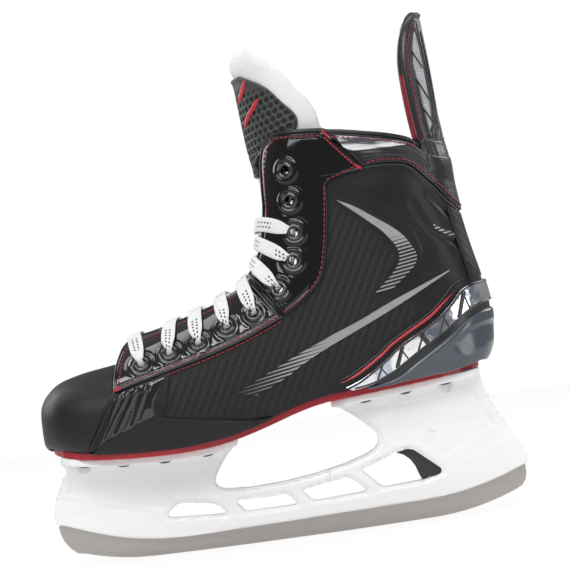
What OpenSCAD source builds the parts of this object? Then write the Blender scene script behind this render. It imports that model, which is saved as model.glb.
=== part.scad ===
// Ice hockey skate for a left foot, standing on its runner.
// X runs from toe (-) to heel (+), Y from the outer side (-) to the inner side (+), Z up.
// The origin is on the runner's bottom edge, where the steel touches the ice.

/* [Runner] */
// Thickness of the steel runner
steel_t = 3.0; // [2.5:0.1:4]
// Width of the slot in the holder that takes the runner
slot_w = 3.6; // [3.3:0.05:4]
// Radius of the pin that the runner hooks on at the front
hook_pin_r = 2.5; // [2:0.1:3]

/* [Holder] */
// Half width of the rail that grips the runner
rail_half = 5.5; // [5:0.1:7]
// Half width of the front mounting flange
front_flange_half = 29; // [24:1:32]
// Half width of the rear mounting flange
rear_flange_half = 24; // [20:1:26]
// Thickness of the mounting flanges
flange_t = 4.6; // [3.5:0.1:6]
// Radius of the rivet shanks
rivet_r = 2.3; // [1.8:0.1:3]

/* [Trigger] */
// Width of the release trigger
trigger_w = 8.6; // [7:0.1:9]
// Radius of the trigger's pivot pin
pivot_r = 2.0; // [1.5:0.1:2.5]

/* [Sole] */
// Thickness of the outsole
outsole_t = 4; // [3:0.1:6]
// Thickness of the lasting board
board_t = 2; // [1.5:0.1:3]
// Thickness of the footbed
footbed_t = 4.5; // [3:0.1:7]

/* [Boot] */
// Thickness of the quarter shells
quarter_t = 2; // [1.5:0.1:3]
// Thickness of the facings
facing_t = 1.5; // [1:0.1:2.5]
// Thickness of the ankle and side foam
foam_t = 3.2; // [2:0.1:4]
// Thickness of the lining
lining_t = 1.1; // [0.8:0.1:2]
// Thickness of the toe cap
toe_cap_t = 2.2; // [1.5:0.1:3]
// Thickness of the tongue felt
felt_t = 7; // [4:0.5:8]

/* [Lacing] */
// Radius of an eyelet's hole
eyelet_hole_r = 2.4; // [2:0.1:2.6]
// Radius of an eyelet's flange
eyelet_flange_r = 5.2; // [4:0.1:6]
// Width of the flat lace
lace_w = 8; // [6:0.5:10]
// Thickness of the flat lace
lace_t = 0.9; // [0.7:0.1:1.2]

/* [Hidden] */
$fn = 48;
gap = 0.5;           // room left between neighbouring layers
skin_gap = 0.8;      // and under the long bands that wrap the boot
big = 400;

// ---------------------------------------------------------------- lofts
// A loft is a list of sections. Each one runs from a top or front point to a bottom or back point:
// [top x, top z, bottom x, bottom z, half width, height of the widest part (0 bottom, 1 top),
//  roundness of the upper half, share of the width left at the bottom edge, roundness of the lower half,
//  sideways shift towards the big toe]
body_loft = [
    [-124, 122, -122, 70.3, 39.3, .41, 2.4, .80, 2.2, 3.0],
    [-104, 128, -104, 69.2, 45, .40, 2.3, .82, 2.2, 2.8],
    [-78, 136, -74, 67.8, 48, .40, 2.3, .84, 2.2, 2.2],
    [-50, 144, -42, 68.3, 47, .42, 2.3, .82, 2.2, 1.4],
    [-25, 153, -12, 73.4, 43.5, .45, 2.3, .78, 2.2, .7],
    [-7, 163.5, 18, 82.4, 40.5, .50, 2.3, .74, 2.4, .3],
    [1.0, 174, 46, 86.7, 38.5, .56, 2.3, .76, 2.6, 0],
    [4.2, 185, 74, 89.0, 37.5, .62, 2.3, .80, 2.8, 0],
    [5.8, 196, 100, 91.2, 37, .68, 2.4, .80, 3.0, 0],
    [7.2, 206, 120, 93.2, 37, .72, 2.5, .70, 3.1, 0],
    [8.4, 213, 132, 94.8, 37.2, .73, 2.5, .42, 3.1, 0],
    [9.2, 219, 138, 102, 37.4, .745, 2.5, .2, 3.1, 0],
    [10, 225, 140.6, 114, 37.6, .75, 2.5, .04, 3.0, 0],
    [11, 230, 141.2, 128, 37.8, .75, 2.5, .03, 3.0, 0],
    [12, 235, 138.6, 146, 38, .75, 2.5, .03, 3.0, 0],
    [13.4, 240, 134.4, 166, 38.2, .75, 2.5, .03, 3.0, 0],
    [15.5, 246, 131, 187, 38, .75, 2.5, .03, 3.1, 0],
    [20, 252, 128.3, 210, 37.5, .75, 2.4, .03, 3.2, 0],
    [28, 261, 126.3, 234, 36, .74, 2.3, .03, 3.1, 0],
    [39, 278, 124.8, 258, 33, .72, 2.2, .03, 2.9, 0],
    [50, 297, 123.6, 284, 29, .70, 2.2, .03, 2.6, 0],
    [62, 317, 121.8, 313, 24, .68, 2.2, .03, 2.4, 0]
];
toe_loft = [
    [-142.6, 95, -142.8, 80, .6, .50, 2.2, .5, 2.2, 3.5],
    [-141.6, 101, -141.8, 76.2, 14, .48, 2.3, .55, 2.3, 3.5],
    [-137.5, 107.5, -138, 75.0, 25.5, .46, 2.4, .62, 2.3, 3.5],
    [-129, 114, -130, 73.2, 36, .43, 2.5, .70, 2.3, 3.3],
    [-115, 118, -117, 71.2, 43.2, .41, 2.5, .78, 2.3, 3.0],
    [-98, 120.5, -100, 69.3, 46.4, .40, 2.5, .83, 2.3, 2.7],
    [-80, 122.5, -82, 68.2, 47.4, .40, 2.5, .85, 2.3, 2.3]
];
tongue_loft = [
    [12.6, 186, 100, 150, 26, .62, 2.2, .5, 3, 0],
    [12.4, 200, 100, 172, 26.5, .62, 2.2, .5, 3, 0],
    [11.6, 214, 100, 194, 27, .62, 2.2, .5, 3, 0],
    [10.4, 228, 98, 214, 27.5, .60, 2.2, .5, 3, 0],
    [8.2, 242, 94, 233, 28.5, .58, 2.2, .5, 3, 0],
    [6.2, 256, 90, 252, 29.5, .56, 2.2, .5, 3, 0],
    [4.6, 270, 86, 270, 29.5, .55, 2.2, .5, 3, 0],
    [3.0, 283, 82, 287, 28.5, .54, 2.2, .5, 3, 0],
    [1.8, 292, 78, 300, 27, .54, 2.2, .5, 3, 0],
    [4.4, 299.5, 72, 316, 24, .54, 2.2, .5, 3, 0]
];

// Catmull-Rom curve through the rows of a table, at row number u
function blend4(a, b, c, d, t) =
    0.5 * (2 * b + (c - a) * t + (2 * a - 5 * b + 4 * c - d) * t * t + (3 * b - a - 3 * c + d) * t * t * t);
function row_at(table, u) =
    let (n = len(table) - 1, i = min(max(floor(u), 0), n - 1), t = u - i)
    blend4(table[max(i - 1, 0)], table[i], table[i + 1], table[min(i + 2, n)], t);

// Place along a section and half width, for v from 0 (top) over 1 (bottom edge) to 1.15 (bottom middle)
function section(r, v) =
    v < .5 ? let (a = 90 * (1 - v / .5)) [r[5] + (1 - r[5]) * pow(sin(a), 2 / r[6]), r[4] * cos(a)]
    : v <= 1 ? let (a = 90 * (v - .5) / .5) [r[5] * (1 - pow(sin(a), 2 / r[8])), r[4] * (r[7] + (1 - r[7]) * cos(a))]
    : [0, r[4] * r[7] * max(0, (1.15 - v) / .15)];
function base_point(loft, u, v, side) =
    let (r = row_at(loft, u), s = section(r, v))
    [r[2] + (r[0] - r[2]) * s[0], r[9] + side * s[1], r[3] + (r[1] - r[3]) * s[0]];

function unit(a) = a / max(norm(a), 1e-9);
function normal(loft, u, v, side) =
    let (n = len(loft) - 1, du = .03, dv = .012, hi = v > 1 ? 1.15 : min(v + dv, 1), lo = min(max(v - dv, 0), 1 - dv),
         along = base_point(loft, min(u + du, n), v, side) - base_point(loft, max(u - du, 0), v, side),
         across = base_point(loft, u, hi, side) - base_point(loft, u, lo, side))
    unit(side * cross(along, across));
function skin(loft, u, v, side, off) = base_point(loft, u, v, side) + off * normal(loft, u, v, side);
// The same with v below 0 on the outer side
function skin_at(loft, u, v, off) = skin(loft, u, abs(v), v < 0 ? -1 : 1, off);

// The [u, v] of the surface point that is seen at [x, z] from the side
function side_of(loft, u, x, z) =
    let (r = row_at(loft, u)) (r[0] - r[2]) * (z - r[3]) - (r[1] - r[3]) * (x - r[2]);
function find_u(loft, x, z, lo, hi, n) =
    n == 0 ? (lo + hi) / 2
    : let (mid = (lo + hi) / 2) side_of(loft, mid, x, z) > 0 ? find_u(loft, x, z, lo, mid, n - 1)
    : find_u(loft, x, z, mid, hi, n - 1);
function to_uv(loft, x, z) =
    let (u = find_u(loft, x, z, 0, len(loft) - 1, 16), r = row_at(loft, u),
         d = [r[0] - r[2], r[1] - r[3]], s = ((x - r[2]) * d[0] + (z - r[3]) * d[1]) / (d * d), m = r[5])
    [u, s >= 1 ? 0 : s <= 0 ? 1
        : s > m ? .5 * (1 - asin(pow((s - m) / (1 - m), r[6] / 2)) / 90)
        : .5 + .5 * asin(pow((m - s) / m, r[8] / 2)) / 90];

// Closed solid between two point grids of rows by columns
module grid_solid(outer, inner) {
    rows = len(outer);
    cols = len(outer[0]);
    total = rows * cols;
    points = concat([for (r = outer) each r], [for (r = inner) each r]);
    function quad(a, b, c, d) = [[a, b, c], [a, c, d]];
    faces = concat(
        [for (i = [0:rows - 2], j = [0:cols - 2]) let (k = i * cols + j) each quad(k, k + 1, k + cols + 1, k + cols)],
        [for (i = [0:rows - 2], j = [0:cols - 2]) let (k = total + i * cols + j)
            each quad(k, k + cols, k + cols + 1, k + 1)],
        [for (j = [0:cols - 2]) each quad(j, total + j, total + j + 1, j + 1)],
        [for (j = [0:cols - 2]) let (k = (rows - 1) * cols + j) each quad(k, k + 1, total + k + 1, total + k)],
        [for (i = [0:rows - 2]) let (k = i * cols) each quad(k, k + cols, total + k + cols, total + k)],
        [for (i = [0:rows - 2]) let (k = i * cols + cols - 1) each quad(k, total + k, total + k + cols, k + cols)]
    );
    polyhedron(points = points, faces = faces, convexity = 8);
}

// A panel lies between two edges, each a list of [x, z] points seen from the side, at offsets low to high.
// Rung number t (0 to 1) joins the two edges, and share (0 to 1) is the place along it.
function point_on(edge, t) = row_at(edge, t * (len(edge) - 1));
function rung_uv(loft, a, b, t, share) =
    let (p = point_on(a, t), q = point_on(b, t), from = to_uv(loft, p[0], p[1]), to = to_uv(loft, q[0], q[1]))
    from + (to - from) * share;
function rung(loft, a, b, side, off, t, nb, v_most) =
    [for (j = [0:nb]) let (p = rung_uv(loft, a, b, t, j / nb)) skin(loft, p[0], min(p[1], v_most), side, off)];
function flip(grid) = [for (r = grid) backwards(r)];
function backwards(list) = [for (i = [len(list) - 1:-1:0]) list[i]];
side_end = .98;      // where one side's panels stop short of the middle of the back
back_v = 1.15;       // the middle of the back
module panel(loft, a, b, side, low, high, na, nb) {
    function grid(off) = [for (i = [0:na]) rung(loft, a, b, side, off, i / na, nb, side_end)];
    if (side > 0) grid_solid(grid(high), grid(low));
    else grid_solid(flip(grid(high)), flip(grid(low)));
}
// A band whose rungs march from the outer side round the heel to the inner side
module band(loft, a, b, low, high, na, nb) {
    function middle(off) = [for (j = [0:nb]) let (p = rung_uv(loft, a, b, 1, j / nb)) skin(loft, p[0], back_v, -1, off)];
    function grid(off) = concat(
        [for (i = [0:na - 1]) rung(loft, a, b, -1, off, i / na, nb, 1)],
        [middle(off)],
        [for (i = [na - 1:-1:0]) rung(loft, a, b, 1, off, i / na, nb, 1)]);
    grid_solid(flip(grid(high)), flip(grid(low)));
}
// A half tube whose rungs each run from the outer side round the back to the inner side
module half_tube(loft, a, b, low, high, na, nb) {
    function row(off, t) = let (p = point_on(b, t), back = to_uv(loft, p[0], p[1])) concat(
        [for (j = [0:nb - 1]) let (q = rung_uv(loft, a, b, t, j / nb)) skin(loft, q[0], q[1], -1, off)],
        [skin(loft, back[0], back_v, -1, off)],
        [for (j = [nb - 1:-1:0]) let (q = rung_uv(loft, a, b, t, j / nb)) skin(loft, q[0], q[1], 1, off)]);
    function grid(off) = [for (i = [0:na]) row(off, i / na)];
    grid_solid(flip(grid(high)), flip(grid(low)));
}

// Curve through [x, y] points that are sorted by x
function curve_at(pts, x) =
    let (n = len(pts) - 1,
         i = min(max(len([for (p = pts) if (p[0] <= x) 1]) - 1, 0), n - 1),
         a = pts[i], b = pts[i + 1], h = b[0] - a[0], t = (x - a[0]) / h,
         sa = i > 0 ? (b[1] - pts[i - 1][1]) / (b[0] - pts[i - 1][0]) : (b[1] - a[1]) / h,
         sb = i + 1 < n ? (pts[i + 2][1] - a[1]) / (pts[i + 2][0] - a[0]) : (b[1] - a[1]) / h)
    (1 + 2 * t) * (1 - t) * (1 - t) * a[1] + t * (1 - t) * (1 - t) * h * sa
        + t * t * (3 - 2 * t) * b[1] + t * t * (t - 1) * h * sb;

// Height of the outsole's underside along the boot
sole_line = [[-140, 72.6], [-130, 69.3], [-115, 66.6], [-95, 64.8], [-75, 63.8], [-55, 63.6], [-38, 64.6],
    [-20, 67.6], [0, 73], [15, 77.6], [30, 81], [45, 82.6], [65, 84.1], [85, 85.7], [105, 87.5], [132, 90.3]];
function sole_z(x) = curve_at(sole_line, x);

// Half width of the outsole along the boot
sole_plan = [[-137.5, 4], [-135, 15], [-130, 24], [-120, 32], [-105, 37.5], [-85, 40], [-65, 40.3], [-45, 38],
    [-22, 33], [0, 29], [20, 27], [45, 27.6], [70, 29], [90, 29.6], [106, 27.5], [117, 22.6], [125, 15.5], [130, 5]];
function plan_shift(x) = 3.2 * max(0, min(1, (10 - x) / 130));
module plan_shape(inset, x0, x1) {
    xs = [for (p = sole_plan) if (p[0] >= x0 && p[0] <= x1) p];
    outer = [for (p = xs) [p[0] + inset * (p[0] < -125 ? 1 : p[0] > 118 ? -1 : 0), -max(p[1] - inset, 1) + plan_shift(p[0])]];
    inner = [for (i = [len(xs) - 1:-1:0]) let (p = xs[i])
        [p[0] + inset * (p[0] < -125 ? 1 : p[0] > 118 ? -1 : 0), max(p[1] - inset, 1) + plan_shift(p[0])]];
    polygon(concat(outer, inner));
}
// Side view of a strip that follows the sole, from low to high above the outsole's underside
module sole_strip(low, high) {
    polygon(concat(
        [for (i = [0:36]) let (x = -141 + i * 7.6) [x, sole_z(x) + low]],
        [for (i = [36:-1:0]) let (x = -141 + i * 7.6) [x, sole_z(x) + high]]));
}
module sole_slab(low, high, inset, x0 = -138, x1 = 131) {
    intersection() {
        side_view(big) sole_strip(low, high);
        linear_extrude(big) plan_shape(inset, x0, x1);
    }
}

// ---------------------------------------------------------------- fasteners
// Rivets through flange, outsole and board: [x, distance from the middle]
front_rivets = [[-118, 19], [-94, 22.5], [-69, 23], [-43, 20]];
rear_rivets = [[57, 17.5], [82, 18.5], [107, 16.5]];
module at_rivets(list) {
    for (r = list, side = [-1, 1])
        translate([r[0], side * r[1] + plan_shift(r[0]) * .6, sole_z(r[0])])
            rotate([0, -atan((sole_z(r[0] + 2) - sole_z(r[0] - 2)) / 4), 0]) children();
}
module rivet() {
    head_z = -flange_t + .5;
    top_z = outsole_t + board_t + washer_t + .2;
    rotate_extrude() polygon([[0, head_z - 1.8], [2.4, head_z - 1.6], [4.2, head_z - .6], [4.2, head_z],
        [rivet_r, head_z], [rivet_r, top_z], [3.6, top_z], [3, top_z + .8], [0, top_z + .9]]);
}
washer_t = .8;
module rivets_front() {
    color([.3, .29, .28]) at_rivets(front_rivets) rivet();
}
module rivets_rear() {
    color([.3, .29, .28]) at_rivets(rear_rivets) rivet();
}
module rivet_washers() {
    color([.7, .6, .4]) at_rivets(concat(front_rivets, rear_rivets)) translate([0, 0, outsole_t + board_t + .12])
        difference() {
            cylinder(r = 5, h = washer_t);
            translate([0, 0, -1]) cylinder(r = rivet_r + .1, h = 4);
        }
}
module rivet_holes() {
    at_rivets(concat(front_rivets, rear_rivets)) translate([0, 0, -20]) cylinder(r = rivet_r + .1, h = 40);
}

// ---------------------------------------------------------------- runner, holder and latch
hook_at = [-121, 34];       // front hook pin [x, z]
pivot_at = [96, 55];        // trigger pivot pin
hook_pin_w = 8.4;           // length of the hook pin
pivot_w = 14;               // length of the pivot pin

// Underside of the holder's rail, which is also where the bare steel begins
rail_line = [[-142, 28.2], [-135, 26], [-120, 20.2], [-100, 14.2], [-80, 11], [-60, 10], [-30, 10.3], [0, 10.8],
    [30, 11.4], [60, 12], [90, 12.8], [105, 14.2], [120, 17], [135, 21], [151, 27]];
function rail_z(x) = curve_at(rail_line, x);
// Bottom edge of the runner: flat in the middle, a long rocker either side of it, tighter towards the ends
flat_half = 20;
rocker_r = 3000;
function rocker_z(x) = let (d = max(0, abs(x) - flat_half), e = max(0, d - (x < 0 ? 65 : 72)))
    d * d / (2 * rocker_r) + e * e / 300;

module side_view(thickness) {
    rotate([90, 0, 0]) translate([0, 0, -thickness / 2]) linear_extrude(thickness) children();
}
module runner() {
    grip = 5;            // how far the steel reaches up into the rail
    bore = hook_pin_r + .06;
    function top(x) = [x, rail_z(x) + grip * min(1, (x + 141) / 12)];
    // hook over the front pin, open towards the toe
    hook = [[-107.5, 22], [-110.5, 34], [-114.5, 40.5], [-121, 42.6], [-127.5, 40.5], [-130.5, 37.4],
        [-130.5, hook_at[1] + bore], [hook_at[0], hook_at[1] + bore], [hook_at[0], hook_at[1] - bore],
        [-132.5, hook_at[1] - bore]];
    // rear tab, whose ramped ledge rests on the trigger's nose
    tab = [[113, 20.4], [112, 30], [111, 41], [108, 44], [103, 44], [101.2, 42.5], [101.2, 38.6], [103.4, 33.6],
        [103.4, 24], [98, 18.6]];
    color([.62, .60, .58]) side_view(steel_t) difference() {
        polygon(concat(
            [for (x = [-126:7:-28]) [x, rocker_z(x)]], [[-flat_half, 0], [flat_half, 0]],
            [for (x = [30:8:142]) [x, rocker_z(x)]],
            [[147, 13.2], [149.6, 16.5], [150.6, 21], [150.6, 25.5], [149.6, 29]],
            [for (x = [146:-6:116]) top(x)], tab, [for (x = [94:-8:-106]) top(x)], hook,
            [for (x = [-134, -138]) top(x)],
            [[-140.8, 26.5], [-140.4, 22], [-138.6, 16.8], [-135, 11.6], [-131, 8.4]]));
        translate(hook_at) circle(r = bore);
    }
}

seat_gap = .05;      // between the holder's flanges and the outsole
module holder_outline() {
    difference() {
        tower_outline();
        sole_strip(-seat_gap, 20);
    }
}
module tower_outline() {
    polygon(concat(
        [[-132, 72], [-24, 72], [-24, 64.4], [-27, 61], [-31, 57.5], [-36.5, 50], [-40.3, 43.5], [-41, 40], [-39.3, 37.2], [-35, 35.6], [-20, 34.6],
         [0, 35.2], [20, 37.4], [40, 41], [54, 45.2], [59.5, 47.8], [62.4, 51.2], [62.6, 55], [60.6, 59.6], [51, 69], [42.5, 75.6],
         [36.5, 78.4], [36.5, 92], [129.5, 92], [129.5, 85], [130.4, 78], [133.6, 68.5], [137.4, 61], [140.5, 55.5], [147, 43], [151, 35], [152.4, 31], [151, 27]],
        [for (i = [40:-1:0]) let (x = -142 + i * 293 / 40) [x, rail_z(x)]],
        [[-142.4, 33], [-140.6, 42], [-135.6, 52], [-130.6, 59.2], [-130.4, 62], [-133.4, 64]]));
}
module holder_windows() {
    polygon([[-73, 22.6], [-72.2, 26], [-66.5, 30.4], [-62, 31], [-46, 28.6], [-40.5, 26.4], [-36.6, 21.4], [-37.5, 20.3]]);
    polygon([[-30, 26.6], [-28, 28], [-8, 27.4], [1, 28], [3.6, 26.6], [7.4, 21.6], [6, 20.2], [-24.5, 20.2]]);
    polygon([[11.4, 28], [13, 29.2], [40, 33.2], [42.6, 32.2], [51, 24], [50, 22.2], [20, 21], [17, 22]]);
    polygon([[50, 35.4], [51, 37], [62, 40.6], [71, 44], [79, 45.4], [83, 44.4], [98.6, 30.6], [98.6, 28.2],
        [96, 27], [84, 24.6], [63, 23.6], [60.5, 24.6]]);
}
// Plan of both flanges, rounded at their corners
module flange_plan() {
    translate([-78, 1.6]) offset(r = 12) square([108 - 24, 2 * front_flange_half - 24], center = true);
    translate([83, 0]) offset(r = 12) square([93 - 24, 2 * rear_flange_half - 24], center = true);
}
// Cross-sections of the towers: half width against height
module tower(x0, x1, steps) {
    translate([x0, 0, 0]) rotate([90, 0, 90]) linear_extrude(x1 - x0) polygon(concat(
        [for (s = steps) [-s[1], s[0]]],
        [for (i = [len(steps) - 1:-1:0]) [steps[i][1], steps[i][0]]]));
}
module holder() {
    color([.93, .93, .93]) difference() {
        union() {
            intersection() {
                side_view(80) holder_outline();
                union() {
                    tower(-145, -20, [[8, rail_half], [32, rail_half], [46, 8], [55, 11.5], [60, 14.5], [74, 15.5]]);
                    tower(-20, 30, [[8, rail_half], [46, rail_half]]);
                    tower(30, 155, [[8, rail_half], [28, rail_half + 1.6], [60, 8.4], [74, 11], [80, 13.5], [95, 14.5]]);
                }
            }
            intersection() {
                side_view(80) sole_strip(-flange_t, -seat_gap);
                linear_extrude(200) flange_plan();
            }
        }
        side_view(100) holder_windows();
        side_view(slot_w) {
            polygon(concat(
                [for (i = [0:40]) let (x = -146 + i * 302 / 40) [x, rail_z(min(max(x, -142), 151)) - 8]],
                [for (i = [40:-1:0]) let (x = -146 + i * 302 / 40)
                    [x, rail_z(min(max(x, -142), 151)) + 6 + (x < -110 ? 1.2 : 0)]]));
            polygon([[-133, 24], [-133, 38], [-128, 44.5], [-114, 44.5], [-108.5, 38], [-106, 16]]);
        }
        // room for the trigger and the runner's rear tab
        side_view(trigger_w + .8) polygon([[90, 36], [83, 40], [72, 40], [69.4, 46], [69.6, 51.5], [76, 53.4], [86, 55.5],
            [90, 61.6], [100, 62], [112, 56], [121, 42], [121, 25.5], [112, 20], [98, 20], [90, 26]]);
        side_view(slot_w) polygon([[86, 8], [86, 30], [116, 30], [116, 8]]);
        cross_pin(hook_at, hook_pin_r, hook_pin_w);
        cross_pin(pivot_at, pivot_r, pivot_w);
        at_rivets(concat(front_rivets, rear_rivets)) {
            translate([0, 0, -20]) cylinder(r = rivet_r + .1, h = 40);
            translate([0, 0, -flange_t + .5 - 12]) cylinder(r = 4.8, h = 12);
        }
    }
}
module cross_pin(place, radius, length) {
    translate([place[0], 0, place[1]]) rotate([90, 0, 0]) cylinder(r = radius, h = length, center = true);
}
module hook_pin() {
    color([.55, .55, .57]) cross_pin(hook_at, hook_pin_r, hook_pin_w);
}
module trigger_pivot_pin() {
    color([.55, .55, .57]) cross_pin(pivot_at, pivot_r, pivot_w);
}
// Finger trigger: its nose carries the ledge of the runner's rear tab
module trigger() {
    boss_w = 4;
    color([.2, .18, .17]) difference() {
        union() {
            side_view(trigger_w) polygon([[90.5, 49], [84, 45], [78, 44.8], [73, 43.4], [76.5, 42], [80.2, 38.6],
                [83, 34], [84.6, 28.8], [86, 25.4], [97.4, 28.2], [98.6, 29.8], [102.9, 31.4], [102.9, 33.2],
                [100.8, 38], [100.8, 49]]);
            translate([0, -(trigger_w - boss_w) / 2, 0]) side_view(boss_w) {
                translate(pivot_at) circle(r = 5);
                polygon([[90.5, 48.8], [91, 55], [101, 55], [100.8, 48.8]]);
            }
        }
        cross_pin(pivot_at, pivot_r + .06, 40);
    }
}
// Torsion spring on the pivot pin, beside the trigger's boss
module trigger_spring() {
    wire = .45;
    color([.6, .6, .6]) translate([pivot_at[0], .5, pivot_at[1]]) rotate([-90, 0, 0])
        for (i = [0:3]) translate([0, 0, wire + i * 2 * wire]) rotate_extrude() translate([3.2, 0])
            square([1.2, 2 * wire], center = true);
}

// ---------------------------------------------------------------- sole
module outsole() {
    color([.72, .2, .23]) difference() {
        sole_slab(0, outsole_t, 0);
        rivet_holes();
    }
}
module lasting_board() {
    color([.75, .66, .5]) difference() {
        sole_slab(outsole_t, outsole_t + board_t, 4.5);
        rivet_holes();
    }
}
module footbed() {
    base = outsole_t + board_t + washer_t + 1.3;
    color([.3, .3, .32]) sole_slab(base, base + footbed_t, 9, -128, 124);
}

// ---------------------------------------------------------------- toe
// The toe cap's rear edge, seen from the side, and the row of the loft that meets it at place v
function cap_edge_x(z) = z < 104 ? -93.8 - (104 - z) * .62 : -93.8 + (z - 104) * .12;
function cap_end(v, back, lo, hi, n) =
    let (mid = (lo + hi) / 2, p = base_point(toe_loft, mid, v, 1)) n == 0 ? mid
    : p[0] < cap_edge_x(p[2]) - back ? cap_end(v, back, mid, hi, n - 1) : cap_end(v, back, lo, mid, n - 1);
cap_steps = [0, .08, .16, .24, .32, .4, .5, .6, .7, .8, .9, .98];
module toe_shell(low, high, u0, back) {
    n = len(cap_steps) - 1;
    vs = concat([for (i = [n:-1:0]) -cap_steps[i]], [for (i = [1:n]) cap_steps[i]]);
    ends = [for (v = vs) cap_end(abs(v), back, 0, len(toe_loft) - 1, 12)];
    rows = 12;
    function grid(off) = [for (i = [0:rows]) [for (j = [0:len(vs) - 1])
        skin_at(toe_loft, u0 + (ends[j] - u0) * pow(i / rows, 1.3), vs[j], off)]];
    grid_solid(grid(high), grid(low));
}
module toe_cap() {
    color([.16, .16, .17]) toe_shell(-toe_cap_t, 0, 0, 0);
}
module toe_lining() {
    color([.25, .25, .26]) toe_shell(-toe_cap_t - gap - lining_t, -toe_cap_t - gap, 1.1, 1);
}

// ---------------------------------------------------------------- edges seen from the side
function on_sole(xs) = [for (x = xs) [x, sole_z(x) + outsole_t + gap]];
throat_low = [[-93, 106.4], [-89, 122], [-81, 133], [-62, 138], [-42, 143.4], [-24, 149], [-10, 156], [-3.6, 161.8]];
throat_high = [[3, 170.5], [7.5, 180.5], [10.6, 192], [12.4, 205], [13.2, 216], [14.2, 228], [16.4, 238], [20, 242.6],
    [25, 246]];
quarter_bottom = concat(on_sole([-111.5, -92, -74, -52, -28, -4, 20, 46, 72, 96, 118]),
    [[134.4, 97.4], [140.4, 112], [140.6, 134], [135, 163], [130.6, 192], [127.9, 221]]);
padding_front = [[-94, 92], [-86, 100], [-70, 104.5], [-50, 109.5], [-30, 114.5], [-10, 121], [8, 128.5], [22, 138],
    [34, 149.5], [41, 162], [46, 180], [48.5, 200], [49, 218], [49.5, 231], [50.5, 241]];
padding_bottom = concat(on_sole([-103, -86, -66, -46, -24, -2, 22, 46, 70, 94, 116]),
    [[134.4, 99], [140.4, 114], [136.6, 154], [128.6, 217]]);

// ---------------------------------------------------------------- shells and padding
module quarter(side) {
    color([.13, .13, .14]) difference() {
        panel(body_loft, concat(throat_low, throat_high), quarter_bottom, side, -quarter_t, 0, 32, 10);
        eyelet_bores(side);
    }
}
module quarter_left() { quarter(-1); }
module quarter_right() { quarter(1); }
foam_out = -quarter_t - 2 * gap;
module foam(side) {
    color([.85, .82, .6]) panel(body_loft, padding_front, padding_bottom, side, foam_out - foam_t, foam_out, 26, 8);
}
module foam_left() { foam(-1); }
module foam_right() { foam(1); }
lining_out = foam_out - foam_t - gap;
module lining(side) {
    color([.2, .2, .22]) panel(body_loft, padding_front, padding_bottom, side, lining_out - lining_t, lining_out, 26, 8);
}
module lining_left() { lining(-1); }
module lining_right() { lining(1); }

module vamp_overlay(side) {
    color([.06, .06, .07]) panel(body_loft, [[-92.6, 104], [-84, 106.4], [-75, 108.6], [-66, 110.6], [-58.4, 111.4],
        [-63.5, 104], [-68.5, 96], [-68.5, 90], [-64, 86.8], [-50, 84], [-30, 80.8], [-12, 77.6], [0, 78.2]],
        on_sole([-111.6, -105, -98, -91, -84, -78, -73, -69, -62, -50, -30, -13, -2]), side, skin_gap, skin_gap + 1.2, 22, 4);
}
module vamp_overlay_left() { vamp_overlay(-1); }
module vamp_overlay_right() { vamp_overlay(1); }

module heel_counter() {
    color([.3, .33, .38]) band(body_loft, [[59, 88.6], [75, 90.6], [90, 98.6], [110, 110.4], [128, 121.8], [141, 125.6]],
        concat(on_sole([60, 75, 92, 112]), [[128, 94.8], [133, 95.2]]), skin_gap, skin_gap + 1.6, 18, 4);
}
band_top = [[46, 90], [57, 94], [72, 103], [80, 109], [92, 115.6], [105, 122.6], [115, 130.4], [123, 138.4], [131, 141.6],
    [139.6, 142.6]];
module heel_band() {
    color([.8, .8, .82]) band(body_loft, band_top, [[50, 88], [64, 90], [76, 94.4], [84, 98.8], [96, 106], [108, 112.6],
        [117, 118.4], [125, 124], [133, 127.8], [141, 129.6]], skin_gap, skin_gap + 1.8, 24, 3);
}
module side_piping() {
    low_edge = [for (i = [0:6]) band_top[i] + [-2, 1.2]];
    color([.8, .1, .15]) for (side = [-1, 1])
        panel(body_loft, [for (q = low_edge) q + [-.8, 2.6]], low_edge, side, gap, gap + 1.4, 18, 1);
}
module back_stay() {
    color([.07, .07, .08]) band(body_loft, [[124, 190], [127, 187.6], [130.9, 185]],
        [[131, 144.8], [134.6, 145], [138.6, 145.4]], gap, gap + 1.4, 5, 6);
}

// ---------------------------------------------------------------- facings and eyelets
eyelet_places = [[28.5, 224.5], [28.5, 206], [28.5, 186.5], [25.5, 169.5], [14.5, 153.5], [-2.5, 140.5], [-20, 134.5],
    [-38.5, 127], [-56.5, 123.5], [-74, 119]];
eyelet_uv = [for (q = eyelet_places) to_uv(body_loft, q[0], q[1])];
module on_surface(uv, side, off) {
    n = normal(body_loft, uv[0], uv[1], side);
    translate(skin(body_loft, uv[0], uv[1], side, off)) rotate([0, acos(n[2]), atan2(n[1], n[0])]) children();
}
eyelet_bore_r = 3.1;
module eyelet_bores(side) {
    for (uv = eyelet_uv) on_surface(uv, side, -8) cylinder(r = eyelet_bore_r, h = 16);
}
module facing_lower(side) {
    color([.05, .05, .06]) difference() {
        panel(body_loft, throat_low, [[-92, 104.9], [-82, 107.6], [-70, 110.6], [-52, 115], [-34, 119.4], [-14, 125.4],
            [2, 131.4], [14.2, 136.6]], side, gap, gap + facing_t, 18, 4);
        eyelet_bores(side);
    }
}
module facing_upper(side) {
    color([.05, .05, .06]) difference() {
        panel(body_loft, concat([[-2.8, 163.2]], throat_high),
            [[15.4, 137.6], [29, 145.8], [41, 158], [47, 179], [50, 199], [51.6, 213.6], [63, 217.2], [73, 220],
            [63, 231.6], [53.6, 243]], side, gap, gap + facing_t, 24, 5);
        eyelet_bores(side);
    }
}
module facing_lower_left() { facing_lower(-1); }
module facing_lower_right() { facing_lower(1); }
module facing_upper_left() { facing_upper(-1); }
module facing_upper_right() { facing_upper(1); }
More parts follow.
